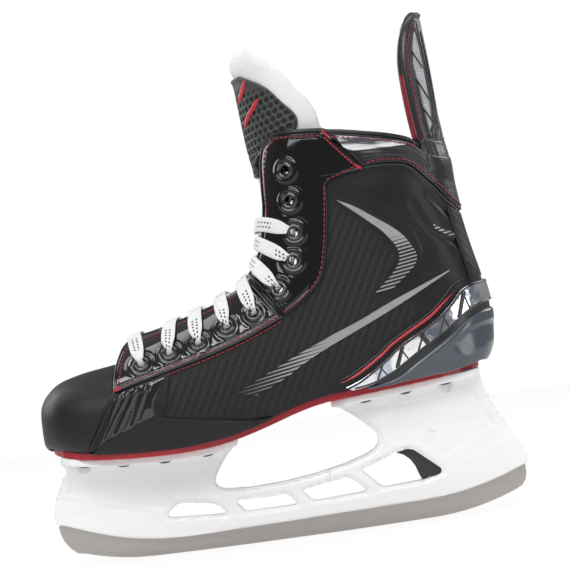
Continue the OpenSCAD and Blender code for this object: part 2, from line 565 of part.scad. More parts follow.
module eyelet() {
    top = gap + facing_t;
    tube = eyelet_bore_r - .1;
    rotate_extrude() polygon([[eyelet_hole_r, -quarter_t - .2], [tube, -quarter_t - .2], [tube, top + .2],
        [eyelet_flange_r, top + .2], [eyelet_flange_r - .4, top + .7], [3.3, top + .9], [eyelet_hole_r, top + .5]]);
}
module eyelets(side) {
    color([.2, .2, .2]) for (uv = eyelet_uv) on_surface(uv, side, 0) eyelet();
}
module eyelets_left() { eyelets(-1); }
module eyelets_right() { eyelets(1); }

// ---------------------------------------------------------------- collar and tendon guard
collar_top = [[54.4, 243], [62, 242.2], [75, 239.6], [90, 236.4], [101, 233], [106.6, 229.4], [113, 223.6],
    [120, 221.4], [127.9, 220.8]];
module collar() {
    color([.09, .09, .1]) band(body_loft, collar_top, [[74, 220.6], [84, 221.2], [95, 220.4], [101, 218.6], [106, 214.6],
        [112, 208], [118, 201], [124, 193.6], [130.6, 187]], skin_gap, skin_gap + 1.6, 20, 4);
}
module collar_trims() {
    color([.85, .85, .88]) for (side = [-1, 1]) panel(body_loft, [[61, 240], [70, 238.4], [85, 235.4], [101, 232]],
        [[64, 232], [70, 228.8], [85, 228.6], [99, 230.6]], side, skin_gap + gap + 1.6, skin_gap + gap + 2.2, 10, 2);
}
guard_front = [[113, 230], [110.6, 236], [108, 250], [106.5, 262], [105.6, 276], [106.2, 288], [109, 296], [112.4, 303],
    [116, 308.4]];
guard_back = [[127.3, 224.8], [126.4, 234], [125.6, 247], [125, 258], [124.3, 271], [123.7, 283], [123.1, 293],
    [122.6, 302], [122.1, 311]];
module tendon_guard() {
    color([.08, .08, .09]) half_tube(body_loft, guard_front, guard_back, -1.6, .8, 16, 7);
}
module tendon_guard_lining() {
    color([.7, .1, .13]) half_tube(body_loft, [for (i = [1:8]) guard_front[i] + [1.5, i == 8 ? -4 : 0]],
        [for (i = [1:8]) guard_back[i] + [0, i == 8 ? -4 : 0]], -5, -2.1, 14, 6);
}
module tendon_guard_inlays() {
    color([.8, .8, .8]) for (side = [-1, 1]) panel(body_loft, [[118.2, 238], [115.5, 260], [114, 270], [113.5, 280],
        [114.4, 290], [117, 299]], [[119.6, 240], [121, 256], [120.6, 270], [120, 280], [119.4, 290], [118.4, 298]],
        side, .8 + gap, 1.4 + gap, 12, 2);
}

// ---------------------------------------------------------------- tongue
tongue_out = -quarter_t - lace_t - 2 * skin_gap - .2;
// A strip over the ridge. Each [row of the loft, place v of its edge] sets how far it reaches down the sides.
module tongue_strip(loft, reach, low, high, rows, cols) {
    first = reach[0][0];
    last = reach[len(reach) - 1][0];
    function grid(off) = [for (i = [0:rows]) let (u = first + (last - first) * i / rows, edge = curve_at(reach, u))
        [for (j = [0:cols]) skin_at(loft, u, edge * (2 * j / cols - 1), off)]];
    grid_solid(grid(high), grid(low));
}
module tongue_lower_felt() {
    color([.9, .9, .88]) tongue_strip(body_loft, [[2.2, .36], [7.7, .36]], tongue_out - felt_t, tongue_out, 16, 9);
}
// The tongue's top is narrow between the facings and spreads above the collar
module tongue_top_felt() {
    color([.92, .92, .9]) tongue_strip(tongue_loft, [[.9, .12], [3.8, .12], [4.3, .13], [4.9, .46], [5.6, .5], [6.4, .47],
        [7.4, .4], [8.2, .3], [8.9, .16]], -felt_t, 0, 22, 11);
}
module tongue_shield() {
    color([.07, .07, .08]) tongue_strip(tongue_loft, [[2.7, .1], [3.9, .1], [4.4, .12], [5, .33], [5.8, .3], [6.6, .25],
        [7.3, .1]], gap, gap + 1.8, 18, 9);
}

// ---------------------------------------------------------------- lace
lace_in = -quarter_t - gap - lace_t / 2;    // offset of the lace under the facings
lace_over = gap + facing_t + 2.5;           // and where it lies on them
eye_w = 3.2;                                // width where it is gathered in an eyelet
first_laced = 2;
last_laced = 9;
// Height at which the lace from each eyelet crosses the middle of the tongue
ridge_heights = [225, 194, 188, 177.5, 168, 159, 151, 146, 141, 136];
function ridge_u(z, lo, hi, n) =
    let (mid = (lo + hi) / 2) n == 0 ? mid
    : row_at(body_loft, mid)[1] < z ? ridge_u(z, mid, hi, n - 1) : ridge_u(z, lo, mid, n - 1);
// [share of the way across, offset, width] from one eyelet to the next one up on the other side
function crossing(high) = [[0, lace_over, eye_w + .4], [.12, lace_over, lace_w * .8],
    [.28, lace_over - 1, lace_w * .8], [.36, lace_over - 1.9, lace_w * .6], [.43, high ? 1.4 : .4, eye_w + .6],
    [.5, high ? .6 : -1.1, eye_w], [.57, high ? -.8 : -2.3, eye_w], [.65, lace_in, eye_w + .8],
    [.8, lace_in, lace_w * .6], [1, lace_in, eye_w]];
function inside_run(high) = [[0, lace_in, eye_w], [.2, lace_in, lace_w * .6], [.4, lace_in, eye_w],
    [.5, high ? -1.1 : lace_in, eye_w], [.6, lace_in, eye_w], [.8, lace_in, lace_w * .6], [1, lace_in, eye_w]];
bar_run = [[0, lace_over, eye_w + .4], [.12, lace_over, lace_w * .8], [.34, lace_over - .9, lace_w * .8],
    [.43, 2.4, lace_w * .8], [.5, 2, lace_w * .8], [.57, 2.4, lace_w * .8], [.66, lace_over - .9, lace_w * .8],
    [.88, lace_over, lace_w * .8], [1, lace_over, eye_w + .4]];
// A run between the places a and b of two eyelets, as rings of [centre, width direction, width]
function run(a, b, mid_z, from_side, steps) =
    let (mid = [ridge_u(mid_z, 0, len(body_loft) - 1, 16), 0],
         start = base_point(body_loft, a[0], a[1], from_side), stop = base_point(body_loft, b[0], b[1], -from_side))
    [for (p = steps)
        let (uv = p[0] < .5 ? a + (mid - a) * p[0] * 2 : mid + (b - mid) * (p[0] - .5) * 2,
             v = (p[0] < .5 ? from_side : -from_side) * uv[1],
             n = normal(body_loft, uv[0], abs(v), v < 0 ? -1 : 1), w = unit(cross(n, stop - start)),
             uphill = skin_at(body_loft, uv[0] + .05, v, 0) - skin_at(body_loft, uv[0], v, 0))
        [skin_at(body_loft, uv[0], v, p[1]), w * uphill < 0 ? -w : w, p[2]]];
function climb(side, high, k) = k == first_laced ? tail(side, high)
    : concat(run(eyelet_uv[k], eyelet_uv[k - 1], (ridge_heights[k] + ridge_heights[k - 1]) / 2, side, crossing(high)),
        climb(-side, high, k - 1));
// The end crosses once more and is tucked up under the other facing
tuck_uv = to_uv(body_loft, 26, 200);
function tail(side, high) = concat(
    run(eyelet_uv[first_laced], tuck_uv, ridge_heights[1] - 3, side, [for (p = crossing(high)) if (p[0] < .75) p]),
    [for (i = [1:4]) let (u = tuck_uv[0] + i * .55, n = normal(body_loft, u, tuck_uv[1], -side))
        [skin(body_loft, u, tuck_uv[1], -side, lace_in - .4 * i), unit(cross(n, [0, 0, 1])) * side, eye_w]]);
function half_lace(side, high) = concat(
    run(eyelet_uv[last_laced], eyelet_uv[last_laced - 1], ridge_heights[last_laced] + 2, side, inside_run(high)),
    climb(-side, high, last_laced - 1));
lace_route = concat(backwards(half_lace(-1, false)),
    run(eyelet_uv[last_laced], eyelet_uv[last_laced], ridge_heights[last_laced], -1, bar_run),
    half_lace(1, true));
function ring(route, i) =
    let (n = len(route) - 1, c = route[i][0], w = route[i][1], half = route[i][2] / 2, h = lace_t / 2,
         along = unit(route[min(i + 1, n)][0] - route[max(i - 1, 0)][0]), up = unit(cross(along, w)))
    [for (q = [[1, 0], [.8, 1], [-.8, 1], [-1, 0], [-.8, -1], [.8, -1]]) c + w * half * q[0] + up * h * q[1]];
module lace() {
    n = len(lace_route);
    m = 6;
    points = [for (i = [0:n - 1]) each ring(lace_route, i)];
    color([.93, .93, .92]) polyhedron(points = points, convexity = 10, faces = concat(
        [[for (j = [0:m - 1]) j], [for (j = [m - 1:-1:0]) (n - 1) * m + j]],
        [for (i = [0:n - 2], j = [0:m - 1]) let (k = (j + 1) % m)
            each [[i * m + j, (i + 1) * m + j, i * m + k], [i * m + k, (i + 1) * m + j, (i + 1) * m + k]]]));
}
module aglets() {
    n = len(lace_route);
    for (e = [[0, 1], [n - 1, n - 2]]) {
        c = lace_route[e[0]][0];
        d = unit(c - lace_route[e[1]][0]);
        color([.9, .9, .92]) translate(c + d * .4) rotate([0, acos(d[2]), atan2(d[1], d[0])])
            cylinder(r = 1.5, h = 18);
    }
}

runner();
holder();
hook_pin();
trigger();
trigger_pivot_pin();
trigger_spring();
rivets_front();
rivets_rear();
rivet_washers();
outsole();
lasting_board();
footbed();
toe_cap();
toe_lining();
quarter_left();
quarter_right();
foam_left();
foam_right();
lining_left();
lining_right();
heel_counter();
heel_band();
side_piping();
vamp_overlay_left();
vamp_overlay_right();
facing_lower_left();
facing_lower_right();
facing_upper_left();
facing_upper_right();
eyelets_left();
eyelets_right();
back_stay();
collar();
collar_trims();
tendon_guard();
tendon_guard_lining();
tendon_guard_inlays();
tongue_lower_felt();
tongue_top_felt();
tongue_shield();
lace();
aglets();
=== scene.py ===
"""Looks of an ice hockey skate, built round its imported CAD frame. Lengths in the tables are in millimetres."""

import math

import bpy
import numpy as np
from mathutils import Matrix, Vector


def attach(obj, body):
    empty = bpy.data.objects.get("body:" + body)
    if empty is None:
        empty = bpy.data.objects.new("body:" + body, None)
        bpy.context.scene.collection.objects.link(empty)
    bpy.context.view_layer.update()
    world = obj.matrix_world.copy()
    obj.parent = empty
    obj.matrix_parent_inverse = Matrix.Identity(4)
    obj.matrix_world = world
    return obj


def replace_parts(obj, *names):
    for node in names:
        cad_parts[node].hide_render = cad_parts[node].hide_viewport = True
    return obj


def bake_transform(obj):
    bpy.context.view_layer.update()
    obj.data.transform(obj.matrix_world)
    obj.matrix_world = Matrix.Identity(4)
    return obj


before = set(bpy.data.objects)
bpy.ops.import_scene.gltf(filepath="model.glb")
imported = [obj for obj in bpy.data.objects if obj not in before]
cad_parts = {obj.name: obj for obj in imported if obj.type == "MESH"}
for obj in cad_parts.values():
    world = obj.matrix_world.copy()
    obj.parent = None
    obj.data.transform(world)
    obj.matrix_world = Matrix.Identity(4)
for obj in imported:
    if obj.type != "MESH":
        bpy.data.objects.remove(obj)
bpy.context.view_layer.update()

MM = 0.001
SIDES = ((-1, "left"), (1, "right"))
SHELL_REACH = 12  # a hole through a shell is cut no further than this from its place
CURVE_STEP = 0.5  # spacing of the points of a cord or seam
STITCH_HEIGHT = 0.7
STITCH_DIP, STITCH_WIDTH = np.array([[-.35, -.02, .12, .12, -.02, -.35], [.5, .9, 1, 1, .9, .5]])

# ------------------------------------------------------------------ camera and lights, in metres
ROLL = math.radians(7.8)  # the photo shows the skate turned by this much
DISTANCE, AIM_X, AIM_Z = 1.5, 0.0182, 0.1558
scene = bpy.context.scene
camera = bpy.data.objects.new("camera", bpy.data.cameras.new("camera"))
scene.collection.objects.link(camera)
camera.data.sensor_width, camera.data.lens, camera.data.clip_end = 36, 152.8, 20
c, s = math.cos(ROLL), math.sin(ROLL)
camera.matrix_world = Matrix(((c, s, 0, AIM_X), (0, 0, -1, -DISTANCE), (-s, c, 0, AIM_Z), (0, 0, 0, 1)))
scene.camera = camera
scene.view_settings.view_transform = "Standard"

for name, place, target_z, width, height, power in (
        ("key", (-0.75, -1.25, 1.25), 0.15, 0.9, 0.9, 13), ("front", (0.2, -1.7, 1.5), 0.13, 1.2, 0.5, 11),
        ("back_left", (-1.1, 0.9, 0.8), 0.15, 0.8, 1.0, 8), ("back_right", (1.2, 0.7, 0.9), 0.15, 0.8, 1.0, 8),
        ("right", (1.35, -0.7, 0.5), 0.15, 0.5, 1.1, 4), ("top", (0.0, 0.0, 1.6), 0.1, 1.2, 0.8, 7)):
    data = bpy.data.lights.new(name, "AREA")
    data.shape, data.size, data.size_y, data.energy = "RECTANGLE", width, height, power
    light = bpy.data.objects.new(name, data)
    scene.collection.objects.link(light)
    light.location, light.rotation_mode = place, "QUATERNION"
    light.rotation_quaternion = (Vector((0, 0, target_z)) - Vector(place)).to_track_quat("-Z", "Y")

# a grey surround that the camera sees as white
world = bpy.data.worlds.new("studio")
scene.world = world
world.use_nodes = True
nodes, links = world.node_tree.nodes, world.node_tree.links
nodes["Background"].inputs["Color"].default_value = (0.24, 0.244, 0.25, 1)
white, path, both = (nodes.new("ShaderNode" + kind) for kind in ("Background", "LightPath", "MixShader"))
white.inputs["Color"].default_value = (1, 1, 1, 1)
for source, target in zip((path.outputs["Is Camera Ray"], nodes["Background"].outputs[0], white.outputs[0]),
                          both.inputs):
    links.new(source, target)
links.new(both.outputs[0], nodes["World Output"].inputs["Surface"])



# ------------------------------------------------------------------ materials
class Paint:
    """A Principled material with helpers that work in millimetres of object space."""

    def __init__(self, name, color, rough, metal=0.0, coat=0.0, coat_rough=0.04, sheen=0.0, spec=0.5):
        self.mat = bpy.data.materials.new(name)
        self.mat.use_nodes = True
        self.nt = self.mat.node_tree
        self.bsdf = self.nt.nodes["Principled BSDF"]
        for key, value in (("Base Color", (*color, 1)), ("Roughness", rough), ("Metallic", metal),
                           ("Coat Weight", coat), ("Coat Roughness", coat_rough), ("Sheen Weight", sheen),
                           ("Specular IOR Level", spec)):
            self.bsdf.inputs[key].default_value = value
        self.bumped = None

    def new(self, kind, inputs=(), **props):
        n = self.nt.nodes.new("ShaderNode" + kind)
        for k, v in props.items():
            setattr(n, k, v)
        for k, v in dict(inputs).items():
            if isinstance(v, bpy.types.NodeSocket):
                self.nt.links.new(v, n.inputs[k])
            elif v is not None:
                n.inputs[k].default_value = v
        return n

    def math(self, op, a, b=None):
        return self.new("Math", {0: a, 1: b}, operation=op).outputs[0]

    def times(self, a, b):
        return self.math("MULTIPLY", a, b)

    def coords(self, scale=(1, 1, 1), turn=(0, 0, 0)):
        """Object space in millimetres, turned and then stretched."""
        if not hasattr(self, "raw"):
            self.raw = self.new("TexCoord").outputs["Object"]
        turned = self.new("Mapping", {"Vector": self.raw, "Rotation": turn}, vector_type="POINT").outputs[0]
        return self.new("Mapping", {"Vector": turned, "Scale": tuple(1000 * k for k in scale)}).outputs[0]

    def attribute(self, name):
        return self.new("Attribute", attribute_name=name).outputs["Fac"]

    def noise(self, vector, scale, detail=2.0, rough=0.5, distort=0.0):
        return self.new("TexNoise", {"Vector": vector, "Scale": scale, "Detail": detail,
                                     "Roughness": rough, "Distortion": distort}).outputs["Fac"]

    def cells(self, vector, scale, random=1.0):
        return self.new("TexVoronoi", {"Vector": vector, "Scale": scale, "Randomness": random}).outputs["Distance"]

    def ramp(self, fac, low, high, out_low=0.0, out_high=1.0):
        return self.new("MapRange", {0: fac, 1: low, 2: high, 3: out_low, 4: out_high}, clamp=True).outputs[0]

    def mix(self, fac, a, b):
        a, b = ((*q, 1) if isinstance(q, tuple) else q for q in (a, b))
        return self.new("MixRGB", {0: fac, 1: a, 2: b}).outputs[0]

    def color(self, socket):
        self.nt.links.new(socket, self.bsdf.inputs["Base Color"])

    def rough(self, socket):
        self.nt.links.new(socket, self.bsdf.inputs["Roughness"])

    def bump(self, height, depth_mm):
        """Adds a layer of relief to the ones before it."""
        self.bumped = self.new("Bump", {"Height": height, "Distance": depth_mm * MM, "Normal": self.bumped}).outputs[0]
        self.nt.links.new(self.bumped, self.bsdf.inputs["Normal"])

    def vary(self, fac, color, spread):
        """Colour from darker to lighter than the base colour."""
        dark, light = (tuple(min(1, k * (1 + q)) for k in color) for q in (-spread, spread))
        self.color(self.mix(fac, dark, light))

    def grain(self, *layers):
        """Layers of noise relief, each (scale, detail, depth in mm)."""
        for scale, detail, depth in layers:
            self.bump(self.noise(self.coords(), scale, detail), depth)

    def shade(self, color, spread, scale):
        self.vary(self.noise(self.coords(), scale, 3), color, spread)


def toe_plastic():
    p = Paint("toe_plastic", (0.015, 0.015, 0.016), 0.5, spec=0.3)
    p.shade((0.014, 0.014, 0.0152), 0.25, 0.05)
    p.grain((1.5, 2, 0.12), (0.5, 2, 0.12))
    p.rough(p.ramp(p.noise(p.coords(), 0.12, 3), 0.3, 0.7, 0.4, 0.54))
    return p.mat


def periods(p, slope, pitch):
    """How many pitches a point lies along the slope (degrees) in the side view."""
    x, _, z = p.new("SeparateXYZ", {0: p.coords()}).outputs
    a = math.radians(slope)
    return p.math("ADD", p.times(x, math.cos(a) / pitch), p.times(z, math.sin(a) / pitch))


def lines(p, slope, pitch):
    """A soft ridge from 0 to .5 in every pitch."""
    return p.math("PINGPONG", periods(p, slope, pitch), 0.5)


def quarter_shell():
    p = Paint("quarter_shell", (0.02, 0.02, 0.022), 0.42, spec=0.2)
    weave = p.attribute("weave")
    ribs = p.times(lines(p, 72, 1.3), 2.0)
    twill = p.ramp(lines(p, -28, 4.6), 0.12, 0.36)
    cross = p.times(p.times(lines(p, -6, 2.6), 2.0), 0.3)
    rib_height = p.times(p.math("ADD", p.times(ribs, p.ramp(twill, 0, 1, 0.35, 1.0)), cross), weave)
    tone = p.mix(p.times(ribs, p.ramp(twill, 0, 1, 0.45, 1.0)), (0.01, 0.01, 0.0105), (0.04, 0.039, 0.037))
    plain = p.mix(p.noise(p.coords(), 0.03, 2), (0.013, 0.013, 0.015), (0.026, 0.026, 0.03))
    p.color(p.mix(weave, plain, tone))
    p.rough(p.ramp(weave, 0, 1, 0.31, 0.5))
    p.bump(rib_height, 0.22)
    p.grain((1.2, 2, 0.05))
    return p.mat


def patent(name="patent", swell=0.5, coat=1.0):
    p = Paint(name, (0.004, 0.004, 0.005), 0.12, coat=coat, coat_rough=0.03, spec=0.5 * coat)
    p.grain((0.06, 1, swell))
    p.rough(p.ramp(p.noise(p.coords(), 0.2, 2), 0.35, 0.7, 0.07, 0.14))
    return p.mat


def plain_leather(name, color, rough=0.34, grain=0.9):
    p = Paint(name, color, rough, coat=0.25, coat_rough=0.25)
    p.shade(color, 0.3, 0.08)
    p.bump(p.cells(p.coords(), grain), 0.07)
    p.grain((0.25, 3, 0.2))
    return p.mat


def knit(name, color, pitch=0.9, contrast=0.5):
    p = Paint(name, color, 0.85, sheen=0.3)
    f = p.cells(p.coords(), 1 / pitch, random=0.35)
    p.color(p.mix(p.ramp(f, 0.1, 0.6), color, tuple(k * (1 - contrast) for k in color)))
    p.bump(f, 0.25)
    return p.mat


def felt():
    p = Paint("felt", (0.8, 0.8, 0.79), 0.95, sheen=0.4)
    p.shade((0.8, 0.8, 0.79), 0.035, 0.35)
    p.bump(p.noise(p.coords(), 1.1, 5, 0.65), 0.3)
    p.grain((0.12, 3, 0.9))
    return p.mat


def thread(name, color):
    p = Paint(name, color, 0.5, sheen=0.2)
    p.shade(color, 0.25, 0.9)
    p.bump(p.times(lines(p, 35, 0.35), 2), 0.05)
    return p.mat


def gloss(name, color, rough=0.22, coat=0.5, grain=0.04):
    p = Paint(name, color, rough, coat=coat, coat_rough=0.08)
    p.shade(color, 0.08, 0.06)
    p.grain((0.5, 3, grain), (0.05, 2, 0.3))
    return p.mat


def white_nylon():
    p = Paint("white_nylon", (0.94, 0.943, 0.945), 0.36, coat=0.15, coat_rough=0.2)
    p.shade((0.94, 0.943, 0.945), 0.02, 0.04)
    p.grain((0.9, 2, 0.03), (0.06, 2, 0.25))
    return p.mat


def steel(name="ground_steel", color=(0.56, 0.525, 0.495), along=(0.03, 1, 1), rough=(0.26, 0.42)):
    p = Paint(name, color, 0.3, metal=1.0)
    f = p.noise(p.coords(scale=along), 2.2, 4, 0.7)
    p.vary(f, color, 0.18)
    p.rough(p.ramp(f, 0.3, 0.7, *rough))
    p.bump(f, 0.035)
    return p.mat


def dark_metal():
    p = Paint("dark_metal", (0.05, 0.05, 0.052), 0.16, metal=1.0, coat=0.6)
    p.rough(p.ramp(p.noise(p.coords(), 0.8, 3), 0.3, 0.7, 0.1, 0.26))
    p.grain((0.7, 2, 0.03))
    return p.mat


def bright_film(name="bright_film", painted_streaks=False):
    p = Paint(name, (0.8, 0.81, 0.84), 0.1, metal=0.25 if painted_streaks else 1.0)
    v = p.coords(scale=(0.1, 0.1, 1.0), turn=(0, math.radians(-9), 0)) if painted_streaks else p.coords()
    f = p.noise(v, 0.3 if painted_streaks else 0.07, 3, distort=0.4)
    # dark and light streaks in the colour of the chrome trim are a painted reflection; the plain film has a mottled
    # metal tint
    p.color(p.mix(p.ramp(f, 0.4, 0.52), (0.1, 0.105, 0.12) if painted_streaks else (0.5, 0.54, 0.62), (0.9, 0.9, 0.92)))
    p.bump(p.noise(p.coords(), 0.12, 2, distort=0.8), 0.35)
    p.rough(p.ramp(f, 0.3, 0.7, 0.07, 0.18))
    return p.mat


def lace_cloth():
    p = Paint("lace_cloth", (0.85, 0.85, 0.84), 0.8, sheen=0.3)
    a, w = p.attribute("along"), p.attribute("across")
    # two rows of dashes on a part of every stretch
    row = p.math("ADD", p.times(a, 1 / 2.7), p.times(w, 0.16))
    dash = p.math("LESS_THAN", p.math("FRACT", row), 0.5)
    beside = p.math("ABSOLUTE", p.math("SUBTRACT", p.math("ABSOLUTE", w), 1.25))
    zone = p.math("LESS_THAN", p.math("FRACT", p.times(a, 1 / 31.0)), 0.5)
    ink = p.times(p.times(dash, p.math("LESS_THAN", beside, 0.6)), zone)
    braid = p.math("ADD", p.times(a, 1.1), p.math("PINGPONG", p.times(w, 0.9), 0.5))
    rib = p.times(p.math("PINGPONG", braid, 0.5), 2)
    cloth = p.mix(rib, (0.78, 0.78, 0.77), (0.89, 0.89, 0.88))
    p.color(p.mix(ink, cloth, (0.02, 0.02, 0.022)))
    p.bump(rib, 0.1)
    p.grain((0.5, 3, 0.15))
    return p.mat


def stripe_print():
    """Satin grey print whose low end breaks up into slanting lines."""
    p = Paint("stripe_print", (0.36, 0.37, 0.36), 0.34, metal=0.25)
    ink = p.math("LESS_THAN", p.math("FRACT", periods(p, 98, 2.1)), p.attribute("solid"))
    grey = p.mix(p.noise(p.coords(), 0.1, 2), (0.3, 0.31, 0.3), (0.4, 0.41, 0.4))
    p.color(p.mix(ink, (0.016, 0.016, 0.018), grey))
    return p.mat


def shield_rubber():
    p = Paint("shield_rubber", (0.045, 0.048, 0.046), 0.42, coat=0.2, coat_rough=0.25)
    # painted shade: the sunk cells of the shield are coloured near black, darker than the walls between them
    p.color(p.mix(p.attribute("cell"), (0.045, 0.048, 0.046), (0.004, 0.004, 0.005)))
    p.bump(p.cells(p.coords(), 2.5), 0.05)
    return p.mat


def mesh_cloth():
    p = Paint("mesh_cloth", (0.7, 0.7, 0.71), 0.7, sheen=0.2)
    f = p.cells(p.coords(), 0.95, random=0.1)
    p.color(p.mix(p.ramp(f, 0.2, 0.5), (0.74, 0.74, 0.76), (0.3, 0.3, 0.33)))
    p.bump(f, 0.3)
    return p.mat


MAT = {
    "toe": toe_plastic(), "quarter": quarter_shell(), "patent": patent(),
    "deep_patent": patent("deep_patent", coat=0.5), "gusset": patent("gusset_patent", 0.9), "felt": felt(),
    "red_thread": thread("red_thread", (0.27, 0.006, 0.02)),
    "bright_red_thread": thread("bright_red_thread", (0.45, 0.01, 0.028)),
    "black_thread": thread("black_thread", (0.012, 0.012, 0.013)),
    "binding": plain_leather("binding", (0.012, 0.012, 0.014), 0.3),
    "collar": plain_leather("collar_leather", (0.014, 0.014, 0.016), 0.26, 1.2),
    "guard": plain_leather("guard_leather", (0.013, 0.013, 0.015), 0.3),
    "liner": knit("liner_knit", (0.03, 0.03, 0.033)), "insole": knit("insole_cloth", (0.07, 0.07, 0.075), 0.7),
    "red_lining": knit("red_lining", (0.5, 0.02, 0.045), 0.7, 0.35), "rubber": shield_rubber(),
    "red_rubber": gloss("red_rubber", (0.5, 0.02, 0.035), 0.45, 0.0),
    "piping": gloss("red_piping", (0.38, 0.006, 0.014), 0.15, 0.6),
    "counter": gloss("counter_gloss", (0.055, 0.068, 0.085), 0.2, 0.7),
    "sole": gloss("sole_red", (0.4, 0.012, 0.022), 0.28, 0.3), "holder": white_nylon(), "steel": steel(),
    "pin": steel("pin_steel", (0.6, 0.6, 0.62), (1, 0.05, 1)),
    "rivet": steel("rivet_metal", (0.07, 0.06, 0.055), (1, 1, 1)),
    "trigger": gloss("trigger_nylon", (0.028, 0.023, 0.021), 0.35, 0.2), "dark_metal": dark_metal(),
    "bright": steel("bright_rim", (0.13, 0.13, 0.135), (1, 1, 1), (0.08, 0.16)), "film": bright_film(),
    "painted_reflection_chrome": bright_film("chrome_painted_reflection", True), "lace": lace_cloth(), "print": stripe_print(),
    "mesh": mesh_cloth(), "board": knit("board_fibre", (0.09, 0.085, 0.08), 1.5, 0.2),
    "washer": steel("washer_brass", (0.62, 0.46, 0.25), (1, 1, 1)),
    "tip": gloss("lace_tip", (0.8, 0.81, 0.84), 0.12, 0.8),
    "black_film": gloss("black_film", (0.01, 0.01, 0.012), 0.2, 0.6),
}


# ------------------------------------------------------------------ the boot's lofts, as in the CAD source
# Each row is an arch across the boot: [top x, top z, bottom x, bottom z, half width, height of the widest part,
# roundness above, share of the width left at the bottom, roundness below, sideways shift]. A place on a loft is u
# (the row) and v (0 on the ridge, .5 at the widest part, 1 at the bottom, BACK in the middle of the underside).
BACK = 1.15
BODY = np.array([
    [-124, 122, -122, 70.3, 39.3, .41, 2.4, .80, 2.2, 3.0], [-104, 128, -104, 69.2, 45, .40, 2.3, .82, 2.2, 2.8],
    [-78, 136, -74, 67.8, 48, .40, 2.3, .84, 2.2, 2.2], [-50, 144, -42, 68.3, 47, .42, 2.3, .82, 2.2, 1.4],
    [-25, 153, -12, 73.4, 43.5, .45, 2.3, .78, 2.2, .7], [-7, 163.5, 18, 82.4, 40.5, .50, 2.3, .74, 2.4, .3],
    [1.0, 174, 46, 86.7, 38.5, .56, 2.3, .76, 2.6, 0], [4.2, 185, 74, 89.0, 37.5, .62, 2.3, .80, 2.8, 0],
    [5.8, 196, 100, 91.2, 37, .68, 2.4, .80, 3.0, 0], [7.2, 206, 120, 93.2, 37, .72, 2.5, .70, 3.1, 0],
    [8.4, 213, 132, 94.8, 37.2, .73, 2.5, .42, 3.1, 0], [9.2, 219, 138, 102, 37.4, .745, 2.5, .2, 3.1, 0],
    [10, 225, 140.6, 114, 37.6, .75, 2.5, .04, 3.0, 0], [11, 230, 141.2, 128, 37.8, .75, 2.5, .03, 3.0, 0],
    [12, 235, 138.6, 146, 38, .75, 2.5, .03, 3.0, 0], [13.4, 240, 134.4, 166, 38.2, .75, 2.5, .03, 3.0, 0],
    [15.5, 246, 131, 187, 38, .75, 2.5, .03, 3.1, 0], [20, 252, 128.3, 210, 37.5, .75, 2.4, .03, 3.2, 0],
    [28, 261, 126.3, 234, 36, .74, 2.3, .03, 3.1, 0], [39, 278, 124.8, 258, 33, .72, 2.2, .03, 2.9, 0],
    [50, 297, 123.6, 284, 29, .70, 2.2, .03, 2.6, 0], [62, 317, 121.8, 313, 24, .68, 2.2, .03, 2.4, 0]], float)
TOE = np.array([
    [-142.6, 95, -142.8, 80, .6, .50, 2.2, .5, 2.2, 3.5], [-141.6, 101, -141.8, 76.2, 14, .48, 2.3, .55, 2.3, 3.5],
    [-137.5, 107.5, -138, 75.0, 25.5, .46, 2.4, .62, 2.3, 3.5], [-129, 114, -130, 73.2, 36, .43, 2.5, .70, 2.3, 3.3],
    [-115, 118, -117, 71.2, 43.2, .41, 2.5, .78, 2.3, 3.0], [-98, 120.5, -100, 69.3, 46.4, .40, 2.5, .83, 2.3, 2.7],
    [-80, 122.5, -82, 68.2, 47.4, .40, 2.5, .85, 2.3, 2.3]], float)
TONGUE = np.array([
    [12.6, 186, 100, 150, 26, .62, 2.2, .5, 3, 0], [12.4, 200, 100, 172, 26.5, .62, 2.2, .5, 3, 0],
    [11.6, 214, 100, 194, 27, .62, 2.2, .5, 3, 0], [10.4, 228, 98, 214, 27.5, .60, 2.2, .5, 3, 0],
    [8.4, 242, 94, 233, 28.5, .58, 2.2, .5, 3, 0], [7.2, 256, 90, 252, 29.5, .56, 2.2, .5, 3, 0],
    [6.2, 270, 86, 270, 29.5, .55, 2.2, .5, 3, 0], [5.0, 283, 82, 287, 28.5, .54, 2.2, .5, 3, 0],
    [1.8, 293, 78, 303, 27, .54, 2.2, .5, 3, 0], [5.0, 302.4, 74, 318.5, 24, .54, 2.2, .5, 3, 0]], float)


def row_at(table, u):
    """Catmull-Rom curve through a table's rows."""
    table, u = np.asarray(table, float), np.asarray(u, float)
    n = len(table) - 1
    i = np.clip(np.floor(u).astype(int), 0, n - 1)
    t = (u - i)[..., None]
    a, b, c, d = table[np.maximum(i - 1, 0)], table[i], table[i + 1], table[np.minimum(i + 2, n)]
    return .5 * (2 * b + (c - a) * t + (2 * a - 5 * b + 4 * c - d) * t * t + (3 * b - a - 3 * c + d) * t ** 3)


def base(loft, u, v, side):
    """The point of the loft at u and v."""
    top_x, top_z, low_x, low_z, half, widest, round_up, foot, round_down, shift = np.moveaxis(row_at(loft, u), -1, 0)
    v = np.asarray(v, float)
    a, b = np.radians(90 * (1 - v / .5)), np.radians(90 * (v - .5) / .5)
    high = widest + (1 - widest) * np.abs(np.sin(a)) ** (2 / round_up)
    low = widest * (1 - np.abs(np.sin(b)) ** (2 / round_down))
    wide = half * (foot + (1 - foot) * np.cos(b))
    flat = half * foot * np.maximum(0, (BACK - v) / (BACK - 1))
    s = np.where(v < .5, high, np.where(v <= 1, low, 0))
    w = np.where(v < .5, half * np.cos(a), np.where(v <= 1, wide, flat))
    return np.stack([low_x + (top_x - low_x) * s, shift + side * w, low_z + (top_z - low_z) * s], -1)


def unit(a):
    return a / np.maximum(np.linalg.norm(a, axis=-1, keepdims=True), 1e-9)


